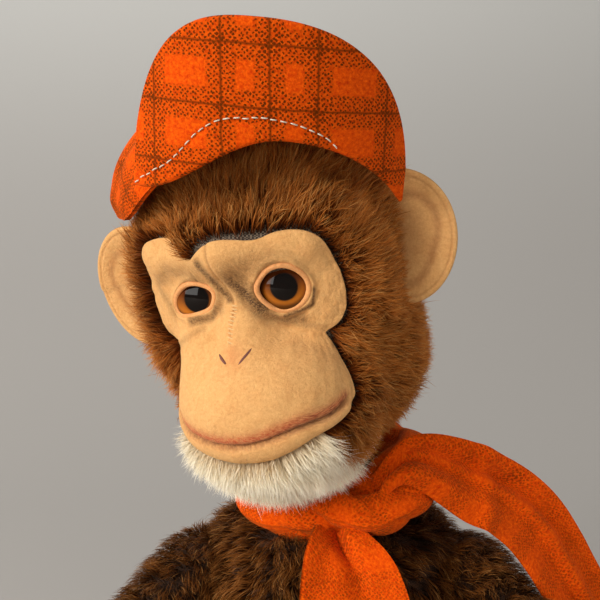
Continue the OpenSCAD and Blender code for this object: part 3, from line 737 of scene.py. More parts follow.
def make_head():
    rows, columns = 130, 200
    p = head_surface(*grid_places(rows, columns, 0.004, 0.996))
    p = p - gradient(head_form, p) * 0.25
    obj = new_object("head_stuffed", head_to_row(p.reshape(-1, 3)), capped_grid(rows, columns, True),
                     HEAD_BACKING, "head")
    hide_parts("head_stuffing", "head_pelt", "chin_pelt")


def comb_from(p, normals, centre, pull=(0, 0, 0)):
    """Combed along the surface, away from a point."""
    away = unit(p - np.array(centre, float)) + np.array(pull, float)
    return unit(away - normals * np.sum(away * normals, -1, keepdims=True))


def is_beard(p):
    x = p[:, 0] - 2
    under = np.maximum(12 - p[:, 2], 0)
    front = p[:, 1] < np.where(x > 0, -11 - 0.1 * x - 0.8 * under, -9 + 0.2 * x)
    return (p[:, 2] < 29 - 0.012 * x ** 2) & front & (np.abs(x) < np.where(x > 0, 18.5, 30))


def worn(a, b, ratio):
    """Where the pile is rubbed off along the felt's edge, so that the ground shows."""
    close = 1 - smooth(ratio, 1.05, 1.13)
    brow = (b > 20) * smooth(a, -9, -4) * (1 - smooth(a, 17, 22))
    cheek = (a > 0) * smooth(b, -19, -14) * (1 - smooth(b, 4, 10)) * (1 - smooth(ratio, 1.03, 1.1))
    return np.maximum(close * brow, cheek * 0.9)


def cap_height(p):
    """Height, depth and azimuth of head points in the cap's own frame."""
    q = (head_to_row(p) - CAP_T) @ CAP_R
    return q[:, 2], q[:, 1], np.arctan2(q[:, 0], -q[:, 1])


def make_head_fur():
    area = cell_areas(head_surface, 60, 90)
    p = scatter_on(head_surface, area, 7.2)
    a, b = face_coordinates(p)
    ratio = np.where(p[:, 1] < -7, outline_ratio(a, b), 9)
    normals = gradient(head_form, p)
    height, depth, azimuth = cap_height(p)
    capped = (height > 4) & (depth > -24)
    hidden = (p[:, 2] < 9) & (np.hypot(p[:, 0], p[:, 1]) < 13)
    keep = (ratio > 1.0) & ~capped & ~hidden
    bare = worn(a, b, ratio) * (0.75 + 0.35 * noise(p, 2.5, 3))
    keep &= rng.random(len(p)) > bare
    p, normals, ratio = p[keep], normals[keep], ratio[keep]
    height, depth, azimuth = height[keep], depth[keep], azimuth[keep]
    beard = is_beard(p)
    long = 6.4 + 4.6 * smooth(ratio, 1.0, 1.35) + 1.4 * smooth(-p[:, 2], -34, -14)
    long = long + 1.2 * noise(p, 5, 8) + 1.3 * rng.normal(size=len(p))
    long = long + 4.6 * smooth(-p[:, 0], 17, 29) * smooth(p[:, 2], 24, 40) * (1 - smooth(p[:, 2], 70, 82))
    temple = bell(np.abs(azimuth) - 1.0, 0.35, 4) * smooth(height, -24, -8)
    fringe = bell(azimuth, 1.25, 4) * smooth(height, -20, -8)
    long = long + 7.5 * fringe * rng.random(len(p)) ** 2
    short = 0.35 * smooth(height, -14, 0) * (depth > -24) * (1 - temple)
    long = np.maximum((long + 4.5 * temple) * (1 - short), 3)
    flow = comb_from(p, normals, (0, -34, 50), (0, 0.35, -0.05))
    brown = ~beard
    add_fur("head_fur", head_to_row(p[brown]), normals[brown] @ HEAD_R.T, flow[brown] @ HEAD_R.T,
            long[brown], HEAD_STYLE, FUR, "head")
    thick = np.concatenate([np.flatnonzero(beard)] * 2)
    q = p[thick] + 0.25 * rng.normal(size=(len(thick), 3))
    down = comb_from(q, normals[thick], (2, -38, 34), (0, -0.15, -0.3))
    length = 10.5 + 1.0 * noise(q, 6, 9) + 1.4 * rng.normal(size=len(q))
    length = length * (0.6 + 0.4 * smooth(-q[:, 2], -27, -18))
    add_fur("beard_fur", head_to_row(q), normals[thick] @ HEAD_R.T, down @ HEAD_R.T, length,
            BEARD_STYLE, WHITE_FUR, "head")


def line_distance(a, b, points):
    """Distance from face coordinates to a line through points."""
    best = np.full(a.shape, 1e9)
    for (x0, y0), (x1, y1) in zip(points[:-1], points[1:]):
        dx, dy = x1 - x0, y1 - y0
        t = np.clip(((a - x0) * dx + (b - y0) * dy) / (dx * dx + dy * dy), 0, 1)
        best = np.minimum(best, np.hypot(a - x0 - t * dx, b - y0 - t * dy))
    return best


def brush(a, b, points, width, strength):
    return strength * bell(line_distance(a, b, points), width)


def seam_line(b):
    """The centre seam sways right at the nose's root and left at the brow."""
    return 1.4 * bell(b - 13, 5) - 2 * smooth(b, 14, 28)


def eye_ratio(a, b):
    """One on the rim of the eye opening."""
    total = 9.0
    for x0, y0, half_width, half_height in EYES.values():
        y = b - y0
        x = (a - x0 - EYE_SLANT * y) / (half_width + 0.1)
        total = np.minimum(total, np.hypot(x, y / (half_height + 0.1)))
    return total


def felt_height(a, b, ratio):
    """Height of the felt over the head: rounded edge, eye openings, lip roll, mouth, seam and creases."""
    edge = np.sqrt(np.clip(1 - (np.clip(ratio - 0.975, 0, 1) / 0.025) ** 2, 0, 1))
    h = 0.25 + 0.85 * edge
    eye = eye_ratio(a, b)
    h = h - 4.6 * (1 - smooth(eye, 0.93, 1.02)) + 0.9 * bell(eye - 1.16, 0.13)
    h = h - 0.35 * bell(eye - 1.42, 0.09) * (b < 17)
    along = smooth(34 - np.abs(a), 0, 6)
    thickness = np.maximum(mouth_level(a) - lip_edge(a), 1.5)
    below = np.clip((mouth_level(a) - b) / thickness, 0, 1)
    h = h + 1.5 * along * np.sqrt(np.clip(np.sin(math.pi * below), 0, 1))
    h = h - 0.9 * along * bell(b - mouth_level(a) - 0.1, 0.45)
    seam = bell(a - seam_line(b), 0.45) * smooth(b, 1.5, 4)
    h = h - 0.45 * seam
    h = h - 0.35 * bell(line_distance(np.abs(a), b, [(10, 6), (20, 1), (36, -5)]), 1.4)
    uneven = 0.07 * noise(np.stack([a, b, 0 * a], -1), 2.5, 12)
    return h + 0.12 * np.sin(a * 0.55 + 2) * np.sin(b * 0.6) + uneven


FELT_COLOUR = np.array(srgb(237, 182, 116))
BRUSH_BROWN = np.array(srgb(66, 40, 26))
BRUSH_RED = np.array(srgb(200, 84, 52))
MOUTH_LINE = np.array(srgb(104, 50, 38))
# Brown of the airbrushed lines, also used as painted shade in hollows and grooves
FELT_AIRBRUSH_AND_SHADE = np.array(srgb(150, 84, 44))
# Strokes of the airbrush: a line of face coordinates, its width and its strength
AIRBRUSH = [
    ([(2, 21), (9, 11)], 3.2, 0.86),
    ([(4, 22), (8, 14)], 4.2, 0.6),
    ([(8, 10), (16, 6), (24, 6)], 2.6, 0.62),
    ([(6, 25), (16, 28)], 3.2, 0.36),
    ([(-6, 27), (0, 15)], 1.5, 0.78),
    ([(-3, 21), (-4, 12)], 2.2, 0.42),
    ([(-36, 27), (-22, 29), (-8, 25)], 2.3, 0.36),
    ([(-38, 25), (-30, 12)], 3.4, 0.34),
    ([(-5, 13), (-8, 9), (-16, 8)], 1.4, 0.66),
    ([(32, 18), (30, 11), (17, 8)], 0.9, 0.8),
    ([(12, 28), (24, 30), (32, 23)], 1.1, 0.24),
    ([(-11, 6), (-35, -5)], 1.2, 0.26),
    ([(22, 4), (34, 1)], 1.6, 0.28),
    ([(34, -22), (36, -12), (34, -5)], 1.0, 0.2),
]


def tinted(base, colour, share):
    """A base colour moved towards another by a share for each point."""
    share = share[..., None]
    return base * (1 - share) + colour * share


def felt_paint(a, b):
    """The face's airbrushing, from face coordinates."""
    dark = 0
    for points, width, strength in AIRBRUSH:
        dark = np.maximum(dark, brush(a, b, points, width, strength))
    dark = np.maximum(dark, 0.36 * bell(a - seam_line(b), 0.4) * smooth(b, 12, 15))
    grain = 0.7 + 0.6 * rng.random(a.shape)
    dark = np.clip(dark * grain, 0, 1)
    reach = smooth(33 - np.abs(a), 0, 5)
    above = b - mouth_level(a)
    speckle = rng.random(a.shape)
    red = reach * 0.8 * bell(above - 1.5, 1.35) * (0.5 + 0.8 * speckle)
    line = reach * 0.8 * bell(above - 0.4, 0.8) * (0.35 + 0.9 * rng.random(a.shape))
    line = line + reach * 0.6 * (speckle > 0.72) * bell(above - 1.6, 1.2) * smooth(a, 4, 20)
    red = red + 0.28 * bell(np.hypot(a - 1, b + 0.6), 2.6)
    colour = tinted(FELT_COLOUR, BRUSH_BROWN, dark)
    colour = tinted(colour, BRUSH_RED, np.clip(red, 0, 1))
    return tinted(colour, MOUTH_LINE, np.clip(line, 0, 1))


def face_point(a, b, lift):
    """Points of the head frame over face coordinates, lifted off the head's form."""
    p = cast(head_form, FACE_CENTRE, face_direction(a, b), 30)
    return p + gradient(head_form, p) * np.asarray(lift)[..., None]


def make_face():
    rows, columns = 128, 400
    ratio = np.linspace(0.003, 1, rows) ** 0.92
    index = np.arange(columns) * OUTLINE_STEPS // columns
    angle, radius = OUTLINE_ANGLE[index], OUTLINE_RADIUS[index]
    a = ratio[:, None] * radius * np.cos(angle)
    b = FACE_MIDDLE + ratio[:, None] * radius * np.sin(angle)
    height = felt_height(a, b, np.broadcast_to(ratio[:, None], a.shape))
    front = face_point(a, b, height)
    back = face_point(a, b, np.minimum(height - 1.2, 0.1))
    points, groups = sheet_solid(front, back, rows, columns, True)
    paint = np.concatenate([felt_paint(a, b).reshape(-1, 3), np.tile(FELT_COLOUR, (a.size, 1))])
    obj = new_object("face_felt_sewn", head_to_row(points), groups, PAINTED_FELT, "head",
                     paint)
    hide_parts("face_felt", "muzzle_felt")
    make_stitches()


THREAD_LIFT = 0.3
SEAM_LEVELS = np.linspace(12.6, 2.2, 10)
SEAM_REACH = (1.0, 0.35)
# Ends of the two nostril stitches, as measured on the photograph
NOSTRIL_STARTS = [(-3.2, -0.5), (2.3, -2.4)]
NOSTRIL_ENDS = [(-0.9, -2.1), (5.4, 0.4)]


def thread_on_face(starts, ends, radius):
    """Short threads over the felt, from face coordinates to face coordinates."""
    parts = []
    t = np.linspace(0, 1, 7)
    arch = THREAD_LIFT * np.sin(math.pi * np.clip(t * 0.9 + 0.05, 0, 1)) + 0.75
    thick = radius * (0.75 + 0.25 * np.sin(math.pi * t))
    for (a0, b0), (a1, b1) in zip(starts, ends):
        path = face_point(a0 + (a1 - a0) * t, b0 + (b1 - b0) * t, arch)
        parts.append(tube(head_to_row(path), thick, 8))
    return merged(parts)


def make_stitches():
    across, down = SEAM_REACH
    starts = [(seam_line(b) - across, b + down) for b in SEAM_LEVELS]
    ends = [(seam_line(b) + across, b - down) for b in SEAM_LEVELS]
    points, groups = thread_on_face(starts, ends, 0.3)
    new_object("nose_seam_stitches", points, groups, SEAM_THREAD, "head")
    points, groups = thread_on_face(NOSTRIL_STARTS, NOSTRIL_ENDS, 0.42)
    new_object("nostril_floss", points, groups, NOSTRIL_THREAD, "head")


# ---------- eyes, lids and ears ----------
EYE_RADIUS = 9.0
EYE_DEPTH = 5.8
EYE_SUNK = 3.5
GAZE = {1: np.array([0.25, -0.94, 0.2]), -1: np.array([0.1, -0.95, 0.2])}
# Iris ambers: the lower one is painted light, as if gathered through the glass, and the upper one is painted shade
# from the lids
AMBER_LIT_BELOW = np.array(srgb(206, 118, 30))
AMBER_SHADED_ABOVE = np.array(srgb(92, 42, 12))
# The glass eye's dark rim, also used as painted shade from the lids
EYE_RIM_AND_LID_SHADE = np.array(srgb(30, 13, 6))
PUPIL = np.array(srgb(9, 6, 5))


def eye_frame(side):
    """Middle of the eye's dome, and its in-plane and outward axes, in the head frame."""
    outward = unit(np.array([0.12 + side * 0.12, -0.95, 0.17]))
    across = unit(np.cross(outward, [0, 0, 1.0]))
    above = np.cross(across, outward)
    spot = np.array(EYES[side][:2])
    surface = face_point(spot[:1], spot[1:], np.zeros(1))[0]
    return surface - outward * EYE_SUNK, across, above, outward


def make_eye(side, name):
    middle, across, above, outward = eye_frame(side)
    rows, columns = 90, 96
    polar = np.linspace(0.004, 1, rows)[:, None] * math.radians(100)
    around = np.arange(columns) * 2 * math.pi / columns
    flat = EYE_RADIUS * np.sin(polar)
    p = (middle + across * (flat * np.cos(around))[..., None] + above * (flat * np.sin(around))[..., None]
         + outward * (EYE_DEPTH * np.cos(polar) + 0 * around)[..., None])
    gaze = unit(GAZE[side])
    q = p - middle
    apart = np.linalg.norm(q - (q @ gaze)[..., None] * gaze, axis=-1)
    # Painted light and shade: the iris is brighter towards the bottom and darker towards the top
    amber = tinted(AMBER_SHADED_ABOVE, AMBER_LIT_BELOW, smooth(-q[..., 2], -3.5, 4.5))
    amber = amber * (0.5 + 0.5 * smooth(apart, 3.3, 5.0))[..., None]
    # Painted shade: the eye darkens towards the rim of its opening, for its dark rim and the lids' shadow on it
    colour = tinted(amber, EYE_RIM_AND_LID_SHADE, smooth(eye_ratio(*face_coordinates(p)), 0.66, 0.92) * 0.85)
    colour = tinted(colour, PUPIL, 1 - smooth(apart, 3.55, 3.95))
    obj = new_object(name, head_to_row(p.reshape(-1, 3)), capped_grid(rows, columns), EYE_GLASS, "head",
                     colour.reshape(-1, 3))
    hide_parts("eye_left" if side > 0 else "eye_right")


def make_lids():
    parts = []
    t = np.linspace(0, 2 * math.pi, 97)[:-1]
    for x0, y0, half_width, half_height in EYES.values():
        b = y0 + half_height * np.sin(t)
        a = x0 + half_width * np.cos(t) + EYE_SLANT * (b - y0)
        path = face_point(a, b, 1.35 + 0.25 * np.sin(t))
        parts.append(ring_tube(head_to_row(path), 0.82, 12))
    points, groups = merged(parts)
    obj = new_object("eyelids_rolled", points, groups, PLAIN_FELT, "head")
    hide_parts("eyelids")


EAR_HALF_WIDTH = 16
EAR_HALF_HEIGHT = 20
EAR_CENTRE = {1: (40, -2, 62.0), -1: (-46.5, -2, 55.5)}
EAR_TURN = 14


def make_ear(side, name):
    """Two layers of felt, cupped forwards, with a sewn edge, an airbrushed fold, and painted shade in the cup's
    hollow and along the groove of the edge.
    """
    rows, columns = 60, 110
    rho = np.linspace(0.004, 1, rows)[:, None]
    angle = np.arange(columns) * 2 * math.pi / columns
    out = np.cos(angle)
    x = EAR_HALF_WIDTH * rho * out * (1 + 0.06 * np.sin(angle))
    z = EAR_HALF_HEIGHT * rho * np.sin(angle) + 0 * x
    cup = -2.6 * rho ** 2.4 * (0.55 + 0.45 * out) + 1.2 * (1 - rho ** 2)
    thick = 1.35 * np.sqrt(np.clip(1 - np.clip((rho - 0.86) / 0.14, 0, 1) ** 2, 0, 1)) + 0.02
    groove = 0.28 * bell(rho - 0.9, 0.018)
    wave = 0.35 * np.sin(2.3 * angle + side) * rho
    front = np.stack([x, cup - thick + groove + wave, z], -1)
    back = np.stack([x, cup + thick - groove + wave, z], -1)
    curve = bell(rho - 0.66 - 0.05 * np.sin(3 * angle), 0.07) * smooth(out, -0.75, 0.3)
    # The airbrushed fold, and painted shade over the middle of the cup's hollow
    dark = (0.42 * curve + 0.3 * bell(rho - 0.2, 0.3)) * (0.8 + 0.4 * rng.random(x.shape))
    # Painted shade along the groove of the sewn edge
    dark = dark + 0.25 * bell(rho - 0.9, 0.02)
    colour = tinted(FELT_COLOUR, FELT_AIRBRUSH_AND_SHADE, dark)
    points, groups = sheet_solid(front, back, rows, columns, True)
    points = points * np.array([side, 1, 1])
    placed = head_to_row(points @ turn((0, 0, 1), side * EAR_TURN).T + np.array(EAR_CENTRE[side]))
    groups = groups if side < 0 else [g[:, ::-1] for g in groups]
    paint = np.concatenate([colour.reshape(-1, 3), np.tile(FELT_COLOUR, (x.size, 1))])
    obj = new_object(name, placed, groups, PAINTED_FELT, "head", paint)
    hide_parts("ear_left" if side > 0 else "ear_right")


# ---------- cap ----------
BILL_R = 45.5
BILL_T = 1.8
BILL_ENDS = (-40, 38.5)
BILL_PEAK = (-8, 38.8)
BILL_CORNER = 6
BILL_RISE = 9.8
BILL_LEFT_REACH = 38
CROWN_SIDE = 42.8
CROWN_TOP = 26.5
CROWN_LOW = -11
CROWN_SQUARENESS = 1.75
CROWN_CLOTH = 1.7
HEM_BACK = -20
HEM_RISE = 30.5
CROWN_DEPTH = 47.5
BILL_STITCH = [(-39, -5), (-28, 2), (-17, 13), (-3, 15), (9, 12), (15.5, 7)]


def bill_low(s):
    """Foot of the bill: half a wave on the left and a parabola on the right of its middle."""
    drop = BILL_RISE + BILL_CORNER
    left = drop * np.sin(math.pi / 2 * np.clip(-s / BILL_LEFT_REACH, 0, 1)) ** 2
    right = drop * (np.maximum(s, 0) / BILL_ENDS[1]) ** 2
    return BILL_RISE - np.where(s < 0, left, right)


def bill_high(s):
    """Top of the bill: a superellipse on each side of its peak, squarer on the left."""
    peak, top = BILL_PEAK
    reach = np.where(s < peak, peak - BILL_ENDS[0], BILL_ENDS[1] - peak)
    square = np.where(s < peak, 2.8, 2.2)
    arch = np.clip(1 - (np.abs(s - peak) / reach) ** square, 0, 1) ** (1 / square)
    return (top + BILL_CORNER) * arch - BILL_CORNER + 0.1


def crown_radius(z):
    """Radius of the crown: drawn in a little at its hem, and a flattened dome above."""
    u = np.clip((z - CROWN_LOW) / (CROWN_TOP - CROWN_LOW), 0, 1)
    dome = CROWN_SIDE * (1 - u ** CROWN_SQUARENESS) ** (1 / CROWN_SQUARENESS)
    return dome - 2.3 * np.clip((CROWN_LOW - z) / 10, 0, 1) ** 2


def bill_point(s, z, depth):
    """A point of the bill: s runs along the cloth, depth is how far in front of its inner face."""
    r = BILL_R + depth
    angle = s / BILL_R
    return np.stack([r * np.sin(angle), -r * np.cos(angle), z], -1)


def make_bill():
    rows, columns = 110, 170
    w = np.linspace(-1, 1, columns)
    middle, half = sum(BILL_ENDS) / 2, (BILL_ENDS[1] - BILL_ENDS[0]) / 2
    s = middle + half * np.sin(math.pi / 2 * w) + np.zeros((rows, 1))
    v = np.linspace(0, 1, rows)[:, None]
    z = bill_low(s) + (bill_high(s) - bill_low(s)) * v
    margin = np.minimum(np.minimum(z - bill_low(s), bill_high(s) - z), (half - np.abs(s - middle)) * 1.5)
    puff = np.sqrt(np.clip(1 - (1 - np.clip(margin / 1.3, 0, 1)) ** 2, 0, 1))
    groove = 0.4 * bell(line_distance(s, z, BILL_STITCH), 0.7)
    soft = 0.25 * noise(np.stack([s, z, 0 * s], -1), 16, 44)
    wave = 0.5 * noise(np.stack([s, z, 0 * s], -1), 30, 45)
    thick = BILL_T / 2
    front = bill_point(s, z, thick + (thick + 0.35) * puff - groove + soft + wave)
    back = bill_point(s, z, thick - thick * puff + wave)
    points, groups = sheet_solid(front[::-1], back[::-1], rows, columns)
    obj = new_object("cap_bill_cloth", cap_to_row(points), groups, FLANNEL, "head")
    cloth = np.stack([s + 0.08 * (z - 15), z - 0.01 * s, 0 * s], -1)[::-1].reshape(-1, 3)
    add_vector(obj, "cloth", np.concatenate([cloth, cloth + [3, 5, 0]]))
    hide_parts("cap_brim")
    make_bill_stitches()


def make_bill_stitches():
    """A row of white stitches over the bill, a little uneven in length and place."""
    path = smooth_path(BILL_STITCH, 400)
    length = run_along(path)
    parts = []
    start = 0.4
    while start < length[-1] - 2:
        size = 1.3 + 0.35 * rng.random()
        t = np.linspace(start, start + size, 7)
        x, z = np.interp(t, length, path[:, 0]), np.interp(t, length, path[:, 1])
        arch = BILL_T + 0.15 + 0.35 * np.sin(math.pi * (t - start) / size)
        parts.append(tube(cap_to_row(bill_point(x, z + 0.12 * rng.normal(), arch)), 0.17, 8))
        start += size + 0.7 + 0.35 * rng.random()
    points, groups = merged(parts)
    new_object("cap_bill_stitches", points, groups, WHITE_THREAD, "head")


def make_crown():
    """Crown with its hem under the bill in front and a soft roll at the sides and back."""
    rows, columns = 90, 240
    around = np.arange(columns) * 2 * math.pi / columns
    azimuth = np.angle(np.exp(1j * around))
    front = bell(np.abs(azimuth), np.where(azimuth > 0, 1.12, 0.9), 4)
    hem = HEM_BACK + HEM_RISE * front
    high = CROWN_TOP - 0.01 - CROWN_DEPTH * np.linspace(1, 0, 120) ** 2
    wide = crown_radius(high)
    lengths = np.concatenate([[0], np.cumsum(np.hypot(np.diff(high), np.diff(wide)))])
    start = np.interp(hem, high, lengths)
    t = np.linspace(0, 1, rows)[:, None]
    along = start + (lengths[-1] - start) * t
    z = np.interp(along, lengths, high)
    r = np.interp(along, lengths, wide)
    for _ in range(3):
        z[1:-1] = (z[:-2] + 2 * z[1:-1] + z[2:]) / 4
        r[1:-1] = (r[:-2] + 2 * r[1:-1] + r[2:]) / 4
    r = r + front * np.maximum(43.4 - r, 0) * bell(z - 10, 7.5) * (z > 0)
    puff = 0.8 * bell(along - start - 4.5, 3.2) * (1 - front)
    gather = 0.9 * np.sin(around * 6) ** 8 * smooth(r, 4, 30)
    p = np.stack([np.sin(around) * r, -np.cos(around) * r, z], -1)
    bend = 0.8 * noise(p, 18, 51) * (1 - front) + puff - gather * (1 - front)
    outward = unit(np.stack([np.sin(around) * (r + 18), -np.cos(around) * (r + 18), z + 12], -1))
    outer = p + outward * bend[..., None]
    inner = outer - outward * CROWN_CLOTH
    points, groups = sheet_solid(outer[::-1], inner[::-1], rows, columns, True)
    obj = new_object("cap_crown_cloth", cap_to_row(points), groups, FLANNEL, "head")
    away = lengths[-1] - along
    cloth = np.stack([np.sin(around) * away, 30 - np.cos(around) * away, 0 * away], -1)[::-1].reshape(-1, 3)
    add_vector(obj, "cloth", np.concatenate([cloth, cloth]))
    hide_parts("cap_crown")


# ---------- scarf ----------
SCARF_THICK = 1.5
RING_RADIUS = 24.2
RING_MIDDLE = (3, 1, -14.6)
KNOT_PATH = [(-5, -30, 110), (12, -34, 108), (24, -27, 112), (28, -16, 114)]
KNOT_AT = [0, 0.12, 0.35, 0.65, 0.85, 1]
KNOT_RADIUS = [2.6, 4.4, 5.6, 6.2, 5.8, 4.6]
FRONT_END = [(2, -36, 105), (6, -45, 94), (9, -48, 64)]
FRONT_WIDTHS = [(13, 0, 1), (28, 0, 0), (38, 0, 0)]
SHOULDER_END = [(13, -31, 113), (23, -29, 123), (42, -23, 114), (62, -18, 99), (84, -15, 63)]
SHOULDER_WIDTHS = [(2, -4, -10), (-3, -8, -12), (-8, -12, -18), (-15, -12, -14), (-13, -12, -17)]


def cloth_strip(name, middles, widths, bend, node):
    """A strip of cloth along stations; bend(across, along) lifts it off its plane."""
    rows, columns = 150, 64
    middle = smooth_path(middles, rows)[:, None]
    width = smooth_path(widths, rows)[:, None]
    across = np.linspace(-0.5, 0.5, columns)[:, None]
    along = np.linspace(0, 1, rows)[:, None]
    tangent = unit(np.gradient(middle, axis=0))
    normal = unit(np.cross(tangent, width))
    lift = bend(across[:, 0][None], along)
    p = middle + width * across + normal * lift[..., None]
    p = p + tangent * (0.5 * np.sin(across[:, 0] * 19 + along * 5))[..., None]
    local = unit(np.cross(np.gradient(p, axis=0), np.gradient(p, axis=1)))
    soft = (0.25 * noise(p, 6, 61))[..., None]
    near_edge = np.clip((np.abs(across[:, 0]) - 0.475) / 0.025, 0, 1)
    edge = np.sqrt(np.clip(1 - near_edge ** 2, 0.02, 1))[None, :, None]
    front = p + local * (SCARF_THICK / 2 * edge + soft)
    back = p - local * (SCARF_THICK / 2 * edge - soft)
    points, groups = sheet_solid(front, back, rows, columns)
    obj = new_object(name, points, groups, SCARF_FLANNEL, "torso")
    run = np.cumsum(np.linalg.norm(np.gradient(middle[:, 0], axis=0), axis=1))[:, None]
    real = np.linalg.norm(width, axis=-1)
    cloth = np.stack([across[:, 0][None] * real * 1.15 + 6, run + 0 * across[:, 0][None], 0 * lift], -1)
    add_vector(obj, "cloth", np.tile(cloth.reshape(-1, 3), (2, 1)))
    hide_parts(node)
    return obj


def rolled_cloth(name, path, radius, folds, node, closed=False):
    """A roll of gathered cloth with folds that wind along it."""
    sides = 56
    step = np.roll(path, -1, 0) - np.roll(path, 1, 0) if closed else np.gradient(path, axis=0)
    tangent = unit(step)
    side = unit(np.cross(tangent, LEAN[:, 2]))
    top = np.cross(side, tangent)
    angle = np.arange(sides) * 2 * math.pi / sides
    run = np.cumsum(np.linalg.norm(np.gradient(path, axis=0), axis=1))[:, None]
    turns = run / run[-1] * 2 * math.pi
    base = np.broadcast_to(np.asarray(radius, float), (len(path),))[:, None]
    crease = np.abs(np.sin(1.5 * angle + folds * turns)) ** 0.6
    finer = np.abs(np.sin(2.5 * angle - folds * 0.5 * turns + 1)) ** 0.8
    r = base * (0.76 + 0.2 * crease + 0.1 * finer)
    flat = 1 + 0.16 * np.cos(2 * angle)
    ring = side[:, None] * (np.cos(angle) * flat)[:, None] + top[:, None] * (np.sin(angle) / flat)[:, None]
    p = path[:, None] + ring * r[..., None]
    p = p + ring * (0.35 * noise(p, 7, 71))[..., None]
    looped = [grid_quads(len(path), sides, True, looped=True)[:, ::-1]]
    groups = looped if closed else capped_grid(len(path), sides, True)
    obj = new_object(name, p.reshape(-1, 3), groups, SCARF_FLANNEL, "torso")
    cloth = np.stack([angle[None] * base * 1.1 + 0 * run, run + 0 * angle[None], 0 * r], -1)
    add_vector(obj, "cloth", cloth.reshape(-1, 3))
    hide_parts(node)
    return obj


def neck_ring():
    """The way round the neck: a tilted circle that rises and dips beside the knot."""
    at = np.linspace(0, 2 * math.pi, 241)[:-1]
    from_right = np.angle(np.exp(1j * at))
    high = 2.6 * bell(from_right + 0.75, 0.5) - 3.4 * bell(from_right - 0.6, 0.6)
    x0, y0, z0 = RING_MIDDLE
    x, y = RING_RADIUS * np.cos(at), RING_RADIUS * np.sin(at)
    return neck_to_row(np.stack([x0 + x, y0 + y, high + z0 + 1.5 * np.sin(at)], -1))


def front_bend(across, along):
    """A fold down the front end that opens out towards its foot."""
    flap = 4.2 * bell(across + 0.05 - 0.2 * along, 0.12) * (1 - smooth(along, 0.3, 0.9))
    return -flap - 1.6 * np.cos(across * 5.5) + 1.0 * np.sin(across * 9 + 3 * along)


def shoulder_bend(across, along):
    """A ridge and a valley along the shoulder end, and a crease across it."""
    valley = 2.6 * bell(across + 0.14 - 0.1 * along, 0.09) * smooth(along, 0.1, 0.3)
    crease = 1.6 * bell(along - 0.55 - 0.12 * across, 0.035)
    ridge = 2.2 * np.cos(across * 7 + 0.8) * (1 - 0.5 * smooth(along, 0.5, 0.9))
    return ridge - valley - crease + 0.8 * np.sin(across * 11 + 7 * along)


def make_scarf():
    roll = rolled_cloth("scarf_neck_roll", neck_ring(), 7.9, 3, "scarf_ring", True)
    swell = np.interp(np.linspace(0, 1, 120), KNOT_AT, KNOT_RADIUS)
    knot = rolled_cloth("scarf_knot_roll", smooth_path(KNOT_PATH, 120), swell, 2, "scarf_knot")
    front = cloth_strip("scarf_front_end", FRONT_END, FRONT_WIDTHS, front_bend, "scarf_front_tail")
    end = cloth_strip("scarf_shoulder_end", SHOULDER_END, SHOULDER_WIDTHS, shoulder_bend,
                      "scarf_shoulder_tail")


# ---------- body, arms and legs ----------
TORSO_FOOT_RADIUS = 40.6
TORSO_SPREAD = 3.4
SHOULDER_Z = 46
TORSO_TOP = 101


def torso_radius(z):
    """Radius of the barrel body: widening a little, then a squarish dome over the shoulders."""
    dome = np.clip((z - SHOULDER_Z) / (TORSO_TOP - SHOULDER_Z), 0, 1)
    return (TORSO_FOOT_RADIUS + TORSO_SPREAD * np.clip(z / SHOULDER_Z, 0, 1)) * (1 - dome ** 3) ** (1 / 3)


TORSO_Z = 100.6 - 100 * np.linspace(1, 0, 80) ** 1.5
TORSO = np.stack([TORSO_Z, torso_radius(TORSO_Z)], -1)
SKIN_INSET = 3.0


def torso_surface(u, v):
    """Barrel of the body with rounded shoulders, closed over under the scarf."""
    along = np.concatenate([[0], np.cumsum(np.hypot(*np.diff(TORSO, axis=0).T))])
    at = 1.0 + u * (along[-1] - 1.2)
    z, r = np.interp(at, along, TORSO[:, 0]), np.interp(at, along, TORSO[:, 1]) - SKIN_INSET
    angle = 2 * math.pi * v
    wide = r * (1 + 0.1 * smooth(z, 70, 90))
    return np.stack([wide * np.cos(angle), r * np.sin(angle), z], -1)


def make_torso():
    rows, columns = 90, 120
    u, v = grid_places(rows, columns)
    outer = torso_surface(u, v)
    inner = outer * [0.975, 0.975, 1] - np.stack([0 * u, 0 * u, 0.9 * smooth(outer[..., 2], 92, 98)], -1)
    points, groups = sheet_solid(outer[::-1], inner[::-1], rows, columns, True)
    obj = new_object("torso_ground", points, groups, BODY_BACKING, "torso")
    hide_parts("torso_pelt")


def clear_of_arms(p):
    """Where the body's pile isn't under an upper arm."""
    start, middle = np.array([40, -6, 74.0]), np.array([49, -23, 64.0])
    q = np.abs(p[:, :1]) * [1, 0, 0] + p * [0, 1, 1]
    return capsule(q, start, middle, 8.5) > 0


def floored(objects):
    """Keeps hair that would reach below the seat lying on it."""
    for obj in objects:
        co = np.zeros(len(obj.data.vertices) * 3, np.float32)
        obj.data.vertices.foreach_get("co", co)
        co = co.reshape(-1, 3)
        co[:, 2] = np.maximum(co[:, 2], 0.0002 + 0.02 * np.abs(co[:, 2]))
        obj.data.vertices.foreach_set("co", co.ravel())
        obj.data.update()


